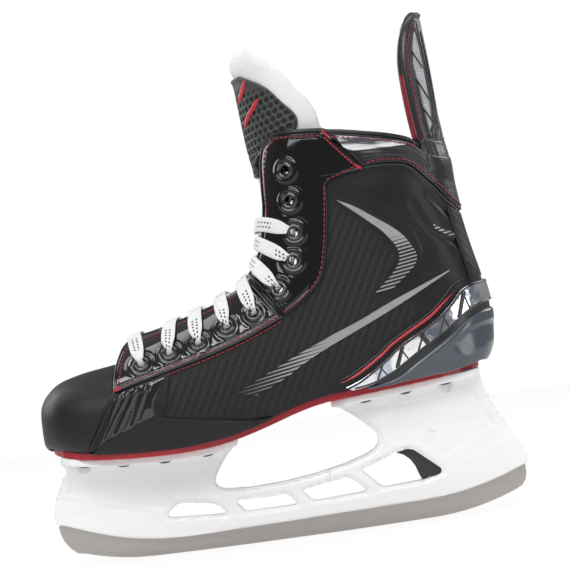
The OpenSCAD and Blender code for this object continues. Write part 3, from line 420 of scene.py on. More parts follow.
def normal(loft, u, v, side):
    """The outward direction of the loft at u and v."""
    u, v, side = np.broadcast_arrays(np.asarray(u, float), np.asarray(v, float), np.asarray(side, float))
    hi, lo = np.where(v > 1, BACK, np.minimum(v + .012, 1)), np.minimum(np.maximum(v - .012, 0), .988)
    along = base(loft, np.minimum(u + .03, len(loft) - 1), v, side) - base(loft, np.maximum(u - .03, 0), v, side)
    across = base(loft, u, hi, side) - base(loft, u, lo, side)
    return unit(side[..., None] * np.cross(along, across))


def skin(loft, u, v, side, off=0.0):
    """The point at a distance off outside the loft."""
    return base(loft, u, v, side) + np.asarray(off, float)[..., None] * normal(loft, u, v, side)


def to_uv(loft, x, z):
    """The row and place of the point seen at x, z from the side."""
    x, z = np.asarray(x, float), np.asarray(z, float)
    lo, hi = np.zeros_like(x), np.full_like(x, len(loft) - 1.0)
    for _ in range(32):
        m = (lo + hi) / 2
        top_x, top_z, low_x, low_z = np.moveaxis(row_at(loft, m), -1, 0)[:4]
        up = (top_x - low_x) * (z - low_z) - (top_z - low_z) * (x - low_x) > 0
        hi, lo = np.where(up, m, hi), np.where(up, lo, m)
    u = (lo + hi) / 2
    top_x, top_z, low_x, low_z, _, widest, round_up, _, round_down, _ = np.moveaxis(row_at(loft, u), -1, 0)
    dx, dz = top_x - low_x, top_z - low_z
    s = ((x - low_x) * dx + (z - low_z) * dz) / (dx * dx + dz * dz)
    above = np.clip(np.abs((s - widest) / (1 - widest)) ** (round_up / 2), 0, 1)
    below = np.clip(np.abs((widest - s) / widest) ** (round_down / 2), 0, 1)
    va, vb = .5 * (1 - np.arcsin(above) / (np.pi / 2)), .5 + .5 * np.arcsin(below) / (np.pi / 2)
    return u, np.where(s >= 1, 0, np.where(s <= 0, 1, np.where(s > widest, va, vb)))


def curve_at(points, x):
    """Smooth curve through points sorted by x."""
    p, x = np.asarray(points, float), np.asarray(x, float)
    n = len(p) - 1
    i = np.clip(np.searchsorted(p[:, 0], x, side="right") - 1, 0, n - 1)
    slope = np.gradient(p[:, 1], p[:, 0]) if n > 1 else np.full(2, (p[1, 1] - p[0, 1]) / (p[1, 0] - p[0, 0]))
    h = p[i + 1, 0] - p[i, 0]
    t = (x - p[i, 0]) / h
    return ((1 + 2 * t) * (1 - t) ** 2 * p[i, 1] + t * (1 - t) ** 2 * h * slope[i]
            + t * t * (3 - 2 * t) * p[i + 1, 1] + t * t * (t - 1) * h * slope[i + 1])


def smooth(x, low, high):
    """A soft step from 0 at low to 1 at high."""
    t = np.clip((x - low) / (high - low), 0, 1)
    return t * t * (3 - 2 * t)


def bell(x, width):
    """A soft ridge of height 1 where x is 0."""
    return np.exp(-(x / width) ** 2)


def wave(x, pitch, phase=0.0):
    """A sine with one turn every pitch."""
    return np.sin(x * 2 * np.pi / pitch + phase)


# ------------------------------------------------------------------ mesh tools
def add_mesh(name, verts, faces, material, body="boot", attributes=()):
    """A smooth piece that rides on a body; lengths in millimetres."""
    mesh = bpy.data.meshes.new(name)
    mesh.from_pydata((np.asarray(verts, float) * MM).tolist(), [], faces if isinstance(faces, list) else faces.tolist())
    for key, values in dict(attributes).items():
        mesh.attributes.new(key, "FLOAT", "POINT").data.foreach_set("value", np.asarray(values, np.float32).ravel())
    mesh.materials.append(MAT[material])
    mesh.polygons.foreach_set("use_smooth", [True] * len(mesh.polygons))
    mesh.update()
    o = bpy.data.objects.new(name, mesh)
    scene.collection.objects.link(o)
    if body:
        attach(o, body)
    return o


def joined(name, parts, material, body="boot"):
    """One piece of several vertex and face lists."""
    faces, k = [], 0
    for verts, part in parts:
        faces += [[int(i) + k for i in q] for q in part]
        k += len(verts)
    return add_mesh(name, np.concatenate([verts for verts, _ in parts]), faces, material, body)


def grid_faces(n, m, start=0, flip=False, around=False):
    i, j = np.meshgrid(np.arange(n - 1), np.arange(m if around else m - 1), indexing="ij")
    k = (j + 1) % m
    q = np.stack([i * m + j, i * m + k, (i + 1) * m + k, (i + 1) * m + j], -1).reshape(-1, 4) + start
    return q[:, ::-1] if flip else q


def solid_of(outer, inner):
    """Vertices and faces of the closed skin between two point grids."""
    n, m = outer.shape[:2]
    t = n * m
    top, low = grid_faces(n, m), grid_faces(n, m, t, True)
    j, i = np.arange(m - 1), np.arange(n - 1)
    a, b = j, (n - 1) * m + j
    c, d = i * m, i * m + m - 1
    sides = [np.stack([a, a + t, a + 1 + t, a + 1], -1), np.stack([b, b + 1, b + 1 + t, b + t], -1),
             np.stack([c, c + m, c + m + t, c + t], -1), np.stack([d, d + t, d + m + t, d + m], -1)]
    return np.concatenate([outer.reshape(-1, 3), inner.reshape(-1, 3)]), np.concatenate([top, low, *sides])


def edge_steps(n, length, r):
    """Places from 0 to 1 that lie close together near both ends, for a rounded edge of radius r."""
    e = r * (1 - np.cos(np.radians([0, 22, 45, 67, 90]))) / max(length, 4 * r)
    return np.concatenate([e, np.linspace(e[-1], 1 - e[-1], n)[1:-1], 1 - e[::-1]])


def from_edges(P):
    """Distance in mm of each grid point from the grid's nearest edge."""
    du = np.linalg.norm(np.diff(P, axis=0), axis=-1)
    dv = np.linalg.norm(np.diff(P, axis=1), axis=-1)
    cu = np.concatenate([np.zeros((1, P.shape[1])), np.cumsum(du, 0)])
    cv = np.concatenate([np.zeros((P.shape[0], 1)), np.cumsum(dv, 1)], 1)
    return np.minimum(np.minimum(cu, cu[-1:] - cu), np.minimum(cv, cv[:, -1:] - cv))


def shell(name, loft, u, v, side, low, high, r, material, body="boot", relief=None, attributes=(), cut=(), roll=True,
          inner_relief=None):
    """A sheet over the loft from offset low to high, with edges rounded to radius r and relief(points) on top."""
    u, v, side = np.broadcast_arrays(u, v, np.asarray(side, float))
    P = skin(loft, u, v, side)
    e = from_edges(P)
    k = np.sqrt(np.maximum(0, 1 - (1 - np.clip(e / r, 0, 1)) ** 2)) if roll else np.ones_like(e)
    mid = (low + high) / 2
    top, bottom = mid + (high - mid) * k, mid - (mid - low) * k
    if relief:
        top = top + relief(P, e) * np.minimum(1, e / r)
    if inner_relief:
        bottom = bottom - inner_relief(P, e) * np.minimum(1, e / r)
    verts, faces = solid_of(skin(loft, u, v, side, top), skin(loft, u, v, side, bottom))
    for place, axis, radius in cut:  # leaves out the faces round each hole, which the eyelets cover
        d = verts[faces].mean(1) - place
        far = d - (d @ axis)[:, None] * axis
        faces = faces[(np.linalg.norm(far, axis=1) > radius) | (np.abs(d @ axis) > SHELL_REACH)]
    corner = verts[faces]
    turn = np.cross(corner[:, 1] - corner[:, 0], corner[:, 2] - corner[:, 0])
    if np.einsum("ij,ij->i", corner[:, 0], turn).sum() < 0:
        faces = faces[:, ::-1]
    values = {key: np.tile(f(P).ravel(), 2) for key, f in dict(attributes).items()}
    return add_mesh(name, verts, faces, material, body, values)


def rungs(a, b, t, s):
    """u and v on the body between two edges, each a list of x, z points seen from the side."""
    a, b = np.asarray(a, float), np.asarray(b, float)
    pa, pb = row_at(a, t * (len(a) - 1)), row_at(b, t * (len(b) - 1))
    ua, va = to_uv(BODY, pa[:, 0], pa[:, 1])
    ub, vb = to_uv(BODY, pb[:, 0], pb[:, 1])
    return ua[:, None] + (ub - ua)[:, None] * s, va[:, None] + (vb - va)[:, None] * s


def length_of(points):
    return float(np.linalg.norm(np.diff(np.asarray(points, float), axis=0), axis=1).sum())


def across_steps(a, b, n, r):
    return edge_steps(n, max(4.2 * r, np.linalg.norm(np.mean(a, 0) - np.mean(b, 0))), r)


def panel(name, a, b, side, low, high, r, material, na, nb, body="boot", v_most=1.0, **more):
    """A shell on one side of the boot, between two edges."""
    u, v = rungs(a, b, edge_steps(na, (length_of(a) + length_of(b)) / 2, r), across_steps(a, b, nb, r))
    return shell(name, BODY, u, np.minimum(v, v_most), side, low, high, r, material, body, **more)


def both_sides(u, v):
    """Rows that go from the outer side to the back, and then the same rows from the back to the inner side."""
    v = np.minimum(v, 1)
    v[-1] = BACK
    side = np.where(np.arange(2 * len(u) - 1) < len(u), -1.0, 1.0)[:, None] * np.ones_like(u[:1])
    return np.concatenate([u, u[-2::-1]]), np.concatenate([v, v[-2::-1]]), side


def half_steps(n, length, r):
    """The first half of edge_steps, stretched to end at 1 with no rounding there."""
    t = edge_steps(n, length, r)
    return np.append(t[t < .5] * 2, 1.0)


def band(name, a, b, low, high, r, material, na, nb, **more):
    """A shell whose rungs march from the outer side round the heel to the inner side."""
    u, v = rungs(a, b, half_steps(na, length_of(a) + length_of(b), r), across_steps(a, b, nb, r))
    return shell(name, BODY, *both_sides(u, v), low, high, r, material, **more)


def half_tube_uv(a, b, na, nb, r):
    """Rungs that each run from the outer side round the back to the inner side."""
    u, v = rungs(a, b, edge_steps(na, length_of(a), r), half_steps(nb, 60, r))
    return [q.T for q in both_sides(u.T, v.T)]


def strip_uv(reach, na, nb, r):
    """A strip over the ridge; reach gives how far down the sides it goes at each row."""
    reach = np.asarray(reach, float)
    t = edge_steps(na, 90, r)
    s = edge_steps(nb, 60, r)
    u = reach[0, 0] + (reach[-1, 0] - reach[0, 0]) * t
    v = curve_at(reach, u)[:, None] * (2 * s - 1)
    return u[:, None] * np.ones_like(v), np.abs(v), np.where(v < 0, -1.0, 1.0)


def on_side(loft, points, side, off):
    """A dense curve on the surface through points seen from the side: places and normals."""
    points = np.asarray(points, float)
    n = max(8, int(length_of(points) / CURVE_STEP))
    p = row_at(points, np.linspace(0, len(points) - 1, n))
    u, v = to_uv(loft, p[:, 0], p[:, 1])
    return skin(loft, u, v, side, off), normal(loft, u, v, side)


def distance_along(P):
    return np.concatenate([[0], np.cumsum(np.linalg.norm(np.diff(P, axis=0), axis=1))])


def tube(P, N, width, height, m=8):
    """Vertices and faces of a closed tube along P, with N as its up direction."""
    along = unit(np.gradient(P, axis=0))
    across = unit(np.cross(along, N))
    up = np.cross(across, along)
    a = np.arange(m) * 2 * np.pi / m
    w, h = np.broadcast_to(width, len(P)), np.broadcast_to(height, len(P))
    ring = (P[:, None] + across[:, None] * (np.cos(a)[None, :, None] * (w / 2)[:, None, None])
            + up[:, None] * (np.sin(a)[None, :, None] * (h / 2)[:, None, None]))
    n = len(P)
    faces = grid_faces(n, m, around=True, flip=True).tolist()
    return ring.reshape(-1, 3), faces + [list(range(m)), list(range((n - 1) * m, n * m))[::-1]]


def stitch_parts(P, N, long=2.3, pause=0.9, width=0.75):
    """Short raised threads along a curve."""
    d = distance_along(P)
    parts, s = [], 0.4
    while s + long < d[-1]:
        places = np.linspace(s, s + long, len(STITCH_DIP))
        q, n = (np.stack([np.interp(places, d, Q[:, k]) for k in range(3)], -1) for Q in (P, N))
        parts.append(tube(q + unit(n) * STITCH_DIP[:, None], unit(n), width * STITCH_WIDTH, STITCH_HEIGHT, 6))
        s += long + pause
    return parts


def cord_part(P, N, width, height, taper=0):
    """A round cord along a curve, thinner over the last taper millimetres."""
    w, h = np.full(len(P), float(width)), np.full(len(P), float(height))
    if taper:
        d = distance_along(P)
        k = np.sqrt(np.clip(np.minimum(d, d[-1] - d) / taper, 0.02, 1))
        w, h = w * k, h * k
    return tube(P, N, w, h, 10)


def cords(name, lines, side, off, size, material, body="boot"):
    """Cords on the boot; size is width, height and taper."""
    return joined(name, [cord_part(*on_side(BODY, line, side, off), *size) for line in lines], material, body)


def seam(name, rows, material, off, side, body="boot", **look):
    parts = []
    for row in rows:
        parts += stitch_parts(*on_side(BODY, row, side, off), **look)
    return joined(name, parts, material, body)


def line_distance(points, line):
    """Distance in the side view from a polyline."""
    p, q = points[..., [0, 2]], np.asarray(line, float)
    best = np.full(p.shape[:-1], np.inf)
    for a, d in zip(q[:-1], np.diff(q, axis=0)):
        t = np.clip(((p - a) @ d) / (d @ d), 0, 1)
        best = np.minimum(best, np.linalg.norm(p - (a + t[..., None] * d), axis=-1))
    return best


def polygon_distance(points, polygon):
    """Signed distance in the side view, positive inside."""
    x, z, q = points[..., 0], points[..., 2], np.asarray(polygon, float)
    best, inside = line_distance(points, np.append(q, q[:1], 0)), np.zeros(x.shape, bool)
    for a, b in zip(q, np.roll(q, -1, 0)):
        edge_x = (b[0] - a[0]) * (z - a[1]) / (b[1] - a[1] if b[1] != a[1] else 1e-9) + a[0]
        inside ^= ((a[1] > z) != (b[1] > z)) & (x < edge_x)
    return np.where(inside, best, -best)


# ------------------------------------------------------------------ edges seen from the side, as in the CAD source
THROAT_LOW = [[-93, 106.4], [-89, 122], [-81, 133], [-62, 138], [-42, 143.4], [-24, 149], [-10, 156], [-3.6, 161.8]]
THROAT_HIGH = [[3, 170.5], [7.5, 180.5], [10.6, 192], [12.4, 205], [13.2, 216], [14.2, 228], [16.4, 238], [20, 242.6],
               [25, 246]]
SOLE_LINE = [[-140, 72.6], [-130, 69.3], [-115, 66.6], [-95, 64.8], [-75, 63.8], [-55, 63.6], [-38, 64.6],
             [-20, 67.6], [0, 73], [15, 77.6], [30, 81], [45, 82.6], [65, 84.1], [85, 85.7], [105, 87.5], [132, 90.3]]
EYELETS = [[28.5, 224.5], [28.5, 206], [28.5, 186.5], [25.5, 169.5], [14.5, 153.5], [-2.5, 140.5], [-20, 134.5],
           [-38.5, 127], [-56.5, 123.5], [-74, 119]]


def on_sole(xs, up=4.5):
    return [[x, float(curve_at(SOLE_LINE, x)) + up] for x in xs]


QUARTER_BOTTOM = on_sole([-111.5, -92, -74, -52, -28, -4, 20, 46, 72, 96, 118], 4.2) + [
    [134.4, 97.4], [140.4, 112], [140.6, 134], [135, 163], [130.6, 192], [127.9, 221]]
EYE_U, EYE_V = to_uv(BODY, [e[0] for e in EYELETS], [e[1] for e in EYELETS])


def eyelet_cuts(side, radius):
    return [(base(BODY, u, v, side), normal(BODY, u, v, side), radius) for u, v in zip(EYE_U, EYE_V)]


# ------------------------------------------------------------------ quarters with their raised and sunk areas
WEAVE = [[-57, 112], [-64, 104], [-68, 95], [-66, 90], [-60, 86.5], [-40, 83], [-20, 80.4], [0, 80], [14, 84], [30, 92],
         [52, 104], [75, 116], [92, 126], [99, 131.5], [84, 136.5], [66, 141], [74, 147.5], [87, 163], [80, 174],
         [66, 189], [54, 200], [50.5, 200], [48, 185], [44.5, 165], [35, 150], [15, 137], [-10, 127], [-30, 120.5]]
BULGE = [[54, 206], [66, 200], [82, 187], [97, 172], [103, 161], [101, 152], [110, 151], [126, 156], [132, 172],
         [124, 192], [112, 207], [101, 218], [80, 221], [60, 216]]
BACK_GROOVES = ([[111, 199.2], [118, 191], [128.2, 180.1]],
                [[100.7, 194], [105, 184], [110.5, 177], [117, 171.5], [124.5, 168], [131.8, 162.3]])
GROOVE = [[96, 186], [101, 178], [104.5, 168], [104, 160], [100, 154], [94, 149]]


def quarter_relief(P, e):
    weave = smooth(polygon_distance(P, WEAVE), -.9, .9)
    bulge = smooth(polygon_distance(P, BULGE), -1, 14)
    ankle = np.exp(-(((P[..., 0] - 88) / 24) ** 2 + ((P[..., 2] - 198) / 19) ** 2))
    rim = bell(polygon_distance(P, BULGE) - 1.0, 1.6)
    groove = bell(line_distance(P, GROOVE), 1.2)
    seam = bell(line_distance(P, [[-65, 86], [-48, 82.6], [-24, 79.4], [-4, 77.4]]), .9)
    back = sum(bell(line_distance(P, q), 1.7) for q in BACK_GROOVES)
    return -.45 * weave + .7 * bulge + 2.0 * ankle + .35 * rim - .7 * groove - .5 * seam - 1.1 * back


for side, word in SIDES:
    o = panel("quarter_" + word + "_shell", THROAT_LOW + THROAT_HIGH, QUARTER_BOTTOM, side, -2, 0, .9, "quarter",
              260, 130, relief=quarter_relief, cut=eyelet_cuts(side, 3.4),
              attributes={"weave": lambda P: smooth(polygon_distance(P, WEAVE), -.35, .35)})
    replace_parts(o, "quarter_" + word)


# ------------------------------------------------------------------ toe cap
def cap_edge(z):
    return np.where(z < 104, -93.8 - (104 - z) * .62, -93.8 + (z - 104) * .12)


def toe_uv(u0, back, rows, cols, r):
    """Rows from u0 to a distance back from the cap's edge, on both sides at once."""
    v = np.concatenate([-np.linspace(1, 0, cols)[:-1], np.linspace(0, 1, cols)])
    v = np.sign(v) * np.minimum(np.abs(v), .995)
    lo, hi = np.zeros(len(v)), np.full(len(v), len(TOE) - 1.0)
    for _ in range(30):
        mid = (lo + hi) / 2
        p = base(TOE, mid, np.abs(v), 1)
        ahead = p[:, 0] < cap_edge(p[:, 2]) - back
        lo, hi = np.where(ahead, mid, lo), np.where(ahead, hi, mid)
    t = edge_steps(rows, 70, r)
    t = np.concatenate([np.linspace(0, t[5], 6)[:-1], t[5:]]) ** 1.25
    u = u0 + (lo - u0)[None, :] * t[:, None]
    return u, np.abs(v)[None, :] * np.ones_like(u), np.where(v < 0, -1.0, 1.0)[None, :] * np.ones_like(u)


def cap_relief(P, e):
    lip = bell(P[..., 2] - 74, 3.0) * .5
    return .25 * bell(e - 3.2, 1.0) * (P[..., 0] > -118) - lip


cap = shell("toe_cap_shell", TOE, *toe_uv(0, 0, 60, 60, 1.0), -2.2, 0, 1.0, "toe", relief=cap_relief)
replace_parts(cap, "toe_cap")
o = shell("toe_lining_cloth", TOE, *toe_uv(1.1, .5, 24, 24, .5), -3.9, -2.7, .5, "liner", roll=False)
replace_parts(o, "toe_lining")

# fills the middle of the cap's front, where the loft comes to a point
y, z = np.meshgrid(np.linspace(-12, 12, 25), np.linspace(73.4, 95, 24), indexing="ij")
x = -142.2 + .9 * (np.abs(y) / 7.7) ** 2 + 2.6 * (np.maximum(0, 76.5 - z) / 3.1) ** 2
verts, faces = solid_of(np.stack([x, y + 3.5, z], -1), np.stack([x + 1.4, y + 3.5, z], -1))
add_mesh("toe_front_filler", verts, faces, "toe")

# ------------------------------------------------------------------ overlay, facings and their seams
GUSSET = [[-92.6, 104], [-84, 106.4], [-75, 108.6], [-66, 110.6], [-58.4, 111.4], [-63.5, 104], [-68.5, 96],
          [-68.5, 90], [-64, 86.8], [-50, 84], [-30, 80.8], [-12, 77.6], [0, 78.2]]
PATCH = [[-91, 104.5], [-75, 107.4], [-59.6, 111.2], [-64.4, 105], [-69.8, 96.5], [-70.4, 88.6], [-79, 85.8],
         [-86, 82.6], [-100, 78.5], [-112, 71.5], [-104, 84], [-96, 97]]
RIBS = [[[-88.5, 103], [-109, 74]], [[-83.8, 104], [-101.5, 78.4]], [[-78.4, 105], [-94, 80.6]],
        [[-72.6, 106.2], [-83.6, 84.4]]]


def overlay_relief(P, e):
    h = .5 * smooth(polygon_distance(P, PATCH), -.6, .8)
    for rib in RIBS:
        d = line_distance(P, rib)
        h = h + (bell(d, 1.15) - .35 * bell(d - 2.2, .6)) * smooth(e, .4, 3.5)
    return h + .5 * bell(line_distance(P, [[-90, 78], [-66, 86]]), .7)


def repaint(o, material, chosen):
    """The chosen faces take a second material."""
    o.data.materials.append(MAT[material])
    o.data.polygons.foreach_set("material_index", np.asarray(chosen).astype(int))


for side, word in SIDES:
    low_edge = on_sole([-111.6, -105, -98, -91, -84, -78, -73, -69, -62, -50, -30, -13, -2], 4.2)
    o = panel("vamp_overlay_" + word + "_leather", GUSSET, low_edge, side, .1, 1.1, .5, "toe", 240, 60,
              relief=overlay_relief)
    # the patent part of the overlay takes its own material
    repaint(o, "gusset", polygon_distance(np.array([p.center for p in o.data.polygons]) / MM, PATCH) > 0)
    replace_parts(o, "vamp_overlay_" + word)

for side, word in SIDES:
    front = [[-91, 110], [-96, 103.6], [-101, 95], [-106, 87], [-112, 79], [-117, 74], [-119.5, 70.6]]
    panel("toe_seam_" + word, front, [[x + 11, z + 1] for x, z in front], side, -1.7, -.1, .5, "toe", 60, 12)

FACE_LOW_BOTTOM = [[-92, 104.9], [-82, 107.6], [-70, 110.6], [-52, 115], [-34, 119.4], [-14, 125.4], [2, 131.4],
                   [14.2, 136.6]]
FACE_UP_BOTTOM = [[15.4, 137.6], [29, 145.8], [41, 158], [47, 179], [50, 199], [51.6, 213.6], [63, 217.2], [73, 220],
                  [63, 231.6], [53.6, 243]]


def eyelet_rings(side):
    """Relief of a facing: a moulded ring round each eyelet and a pressed line along the edge."""
    places = base(BODY, EYE_U, EYE_V, side)

    def relief(P, e):
        h = np.zeros(P.shape[:-1])
        for q in places:
            d = np.linalg.norm(P - q, axis=-1)
            h = h + .5 * bell(d - 6.7, 1.0) - .25 * bell(d - 8.8, 1.1)
        return h - .45 * bell(e - 3.0, .8) + .35 * bell(e - 1.3, .7)
    return relief


for side, word in SIDES:
    look = {"relief": eyelet_rings(side), "cut": eyelet_cuts(side, 3.2)}
    o = panel("facing_lower_" + word + "_patent", THROAT_LOW, FACE_LOW_BOTTOM, side, .3, 2.1, .9, "patent",
              330, 100, **look)
    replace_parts(o, "facing_lower_" + word)
    o = panel("facing_upper_" + word + "_patent", [[-2.8, 163.2]] + THROAT_HIGH, FACE_UP_BOTTOM, side,
              .3, 2.2, .9, "deep_patent", 280, 120, **look)
    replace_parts(o, "facing_upper_" + word)


def inset(points, distance):
    """The polyline moved sideways in the side view."""
    p = row_at(points, np.linspace(0, len(points) - 1, 10 * len(points)))
    d = unit(np.gradient(p, axis=0))
    return p + distance * np.stack([-d[:, 1], d[:, 0]], -1)


LOW_FRONT = [[-92.4, 107], [-90.4, 114], [-88, 122], [-84.4, 129], [-79.6, 133.4], [-74, 135], [-62, 138]]
for side, word in SIDES:
    seam("facing_lower_" + word + "_red_seams",
         [inset(THROAT_LOW[2:], -2.9), inset(LOW_FRONT[:5], -2.8), inset(FACE_LOW_BOTTOM, 1.7)],
         "red_thread", 2.25, side, width=.85)
    seam("facing_lower_" + word + "_edge_seams", [inset(FACE_LOW_BOTTOM[1:], -1.6)], "red_thread", .55, side, width=.9)
    seam("facing_upper_" + word + "_red_seams",
         [inset(THROAT_HIGH, -2.8), inset(FACE_UP_BOTTOM[:6], 1.9), inset(FACE_UP_BOTTOM[5:8], 1.7),
          [[22, 243.4], [30, 243.6], [42, 243], [51, 242]]],
         "red_thread", 2.35, side, width=.85)
    seam("facing_upper_" + word + "_diagonal_seam", [inset(FACE_UP_BOTTOM[7:], 1.5)], "bright_red_thread", 2.4, side,
         width=1.0, long=1.9, pause=.5)
    tacks = [[[x, z + k * .35] for x, z in ends] for ends in
             (([-92.4, 106.0], [-88, 107.1]), ([69.6, 221.6], [73.4, 219.4]), ([52.4, 245], [56.4, 240.6]))
             for k in range(-2, 3)]
    cords("bar_tacks_" + word, tacks, side, 2.35, (.6, .7, 1.0), "bright_red_thread")
    seam("gusset_" + word + "_black_seams",
         [inset(rib, k) for rib in RIBS for k in (-1.9, 1.9)] + [inset(GUSSET[4:12], -1.2), inset(GUSSET[:5], -2)],
         "black_thread", 1.35, side, width=.6, long=1.7, pause=.7)
    seam("quarter_" + word + "_black_seam", [[[-62, 84.6], [-48, 81.4], [-28, 78.6], [-8, 76.6]]], "black_thread", .75,
         side, width=.6, long=1.6, pause=.7)

# ------------------------------------------------------------------ eyelets
RIM = [[2.4, -2.4], [2.6, -2.9], [4.4, -2.8], [4.4, -2.4], [3.0, -2.3], [3.0, 1.9], [5.2, 1.9], [5.3, 2.3], [4.9, 2.8],
       [4.2, 3.05], [3.4, 3.0], [2.9, 2.7], [2.55, 2.1], [2.4, 1.2]]
TORE = [[3.35, 3.0], [3.7, 3.28], [4.15, 3.3], [4.4, 3.0], [4.0, 2.8], [3.5, 2.8]]


def lathe_parts(profile, side, turns=40):
    """The profile turned round the middle of every eyelet."""
    p = np.asarray(profile, float)
    p = row_at(np.concatenate([p, p[:1]]), np.linspace(0, len(p), 3 * len(p) + 1)[:-1])
    a = (np.arange(turns) * 2 * np.pi / turns)[:, None, None]
    faces = grid_faces(turns + 1, len(p), around=True) % (turns * len(p))
    parts = []
    for o, n in zip(base(BODY, EYE_U, EYE_V, side), normal(BODY, EYE_U, EYE_V, side)):
        x = unit(np.cross(n, [0, 0, 1.0]))
        ring = o + p[:, :1] * (np.cos(a) * x + np.sin(a) * np.cross(n, x)) + p[:, 1:] * n
        parts.append((ring.reshape(-1, 3), faces))
    return parts


for side, word in SIDES:
    o = joined("eyelet_barrels_" + word, lathe_parts(RIM, side), "dark_metal")
    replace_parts(o, "eyelets_" + word)
    joined("eyelet_rims_" + word, lathe_parts(TORE, side), "bright")

# ------------------------------------------------------------------ heel: seam cover, counter, bright band, piping
band("rear_seam_cover", [[120, 222], [124, 221.4], [127.9, 221]], [[122, 92.6], [127, 93.6], [131, 95.4]],
     -.6, .35, .4, "binding", 30, 60)


def counter_relief(P, e):
    ridge = line_distance(P, [[70, 88.4], [90, 95.6], [110, 107.4], [124, 115.6], [139, 119]])
    low = smooth(P[..., 2] - curve_at([[60, 87], [90, 94], [110, 106], [130, 118], [141, 119]], P[..., 0]), -6, 3)
    return .55 * bell(ridge, 1.6) + .5 * low


COUNTER_TOP = [[59, 88.6], [75, 90.6], [90, 98.6], [110, 110.4], [128, 121.8], [141, 125.6]]
o = band("heel_counter_shell", COUNTER_TOP, on_sole([60, 75, 92, 112], 4.2) + [[128, 94.8], [133, 95.2]],
         .2, 2.3, 1.2, "counter", 130, 50, relief=counter_relief)
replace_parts(o, "heel_counter")

BAND_TOP = [[46, 90], [57, 94], [72, 103], [80, 109], [92, 115.6], [105, 122.6], [115, 130.4], [123, 138.4],
            [131, 141.6], [139.6, 142.6]]
BAND_LOW = [[50, 88], [64, 90], [76, 94.4], [84, 98.8], [96, 106], [108, 112.6], [117, 118.4], [125, 124], [133, 127.8],
            [141, 129.6]]
o = band("heel_band_film", BAND_TOP, BAND_LOW, .2, 2.5, 1.3, "film", 200, 40)
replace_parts(o, "heel_band")
joined("heel_band_edges", [cord_part(*on_side(BODY, inset(edge, k)[2:], side, 2.3), 1.5, 1.0)
                           for side, _ in SIDES for edge, k in ((BAND_TOP, -1.0), (BAND_LOW, 1.0))], "black_film")
band("heel_seam", [[x, z + 1.5] for x, z in BAND_LOW[1:]],
     [[66, 86.9], [76, 89], [90, 96.6], [110, 108.4], [128, 119.6], [141, 123.4]], -.2, 1.1, .5, "binding", 100, 12)


def bar(a, b, width, side):
    """A flat printed bar on the band, from a to b in the side view."""
    a, b = np.array(a, float), np.array(b, float)
    across = np.array([-(b - a)[1], (b - a)[0]]) / np.linalg.norm(b - a) * width / 2
    line = a + (b - a) * np.linspace(0, 1, 10)[:, None]
    u, v = to_uv(BODY, *np.moveaxis(np.array([line + across * k for k in (-1, 0, 1)]), -1, 0))
    return solid_of(skin(BODY, u, v, side, 2.55), skin(BODY, u, v, side, 1.75))


# a plain zigzag of slanting bars and wedges stands where the real band carries lettering
for side, word in SIDES:
    bars = []
    for x, lean, width in ((66, 4, 1.1), (72, -3.5, .9), (78.5, 5, 2.4), (86, -4, 1.0), (92.5, 5, 1.2), (99, -4, 3.0),
                           (106, 5, 1.0), (112.5, -3, 1.2), (119, 5.5, 2.6), (126.5, -3, 1.0)):
        top = float(curve_at(BAND_TOP, x + lean)) - 1.6
        low = float(curve_at(BAND_LOW, x)) + 1.6
        bars.append(bar([x, low], [x + lean, top], width, side))
    joined("heel_band_pattern_" + word, bars, "black_film")

for side, word in SIDES:
    line = [[x - 2.4, z + 2.5] for x, z in BAND_TOP[:7]] + [[118.5, 137.6]]
    o = cords("side_piping_" + word, [line], side, .9, (2.1, 2.0, 16), "piping")
    if side < 0:
        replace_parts(o, "side_piping")
    cords("side_ridge_" + word, [[[x - 3.9, z + 3.6] for x, z in BAND_TOP[:9]]], side, .35, (1.5, 1.5, 6), "binding")


def stay_relief(P, e):
    slope = P[..., 2] + .35 * P[..., 0] - np.abs(P[..., 1]) * .9
    return .05 * np.maximum(0, wave(slope, 7.0)) * smooth(e, 1, 4)


o = band("back_stay_rubber", [[122, 191], [126, 188.4], [130.9, 185]],
         [[130, 143], [134.6, 144.4], [138.6, 145.4]], .2, 1.0, .5, "quarter", 70, 80, relief=stay_relief)
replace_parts(o, "back_stay")

# ------------------------------------------------------------------ printed stripes
STRIPE_A = ([[-21, 95], [0, 104], [20, 113], [35, 119], [45, 123], [60, 128.5], [80, 137], [100, 144.5], [118, 151.2]],
            [[-8, 92], [10, 99.6], [22, 106.6], [37, 114], [50, 119.5], [70, 128], [90, 137], [108, 145.6],
             [118.6, 150.8]])
STRIPE_B = ([[56.3, 202.4], [66, 197.4], [76, 190.2], [86, 182.8], [93, 176], [97.5, 169], [99.8, 163], [98, 157.6],
             [92.5, 152.4], [85, 146.6]],
            [[56.1, 202.0], [65, 194.4], [73, 187.2], [80.4, 180.4], [86, 173], [88.8, 167.4], [88.6, 161], [84.6, 155],
             [79, 149.8], [71.5, 143.4]])
STRIPE_C = [[111.4, 181], [118, 176.4], [126.6, 173]], [[112.6, 177.6], [119, 173.2], [126.2, 170]]
for side, word in SIDES:
    for name, edges, solid in (("print_low_", STRIPE_A, lambda P: smooth(P[..., 0], -24, 62) * 1.15),
                               ("print_high_", STRIPE_B, lambda P: .42 + .7 * smooth(P[..., 2], 166, 181)),
                               ("print_back_", STRIPE_C, lambda P: np.full(P.shape[:-1], .45))):
        panel(name + word, *edges, side, -.5, .16, .12, "print", 200, 24, roll=False, attributes={"solid": solid},
              relief=quarter_relief, inner_relief=lambda P, e: -quarter_relief(P, e))

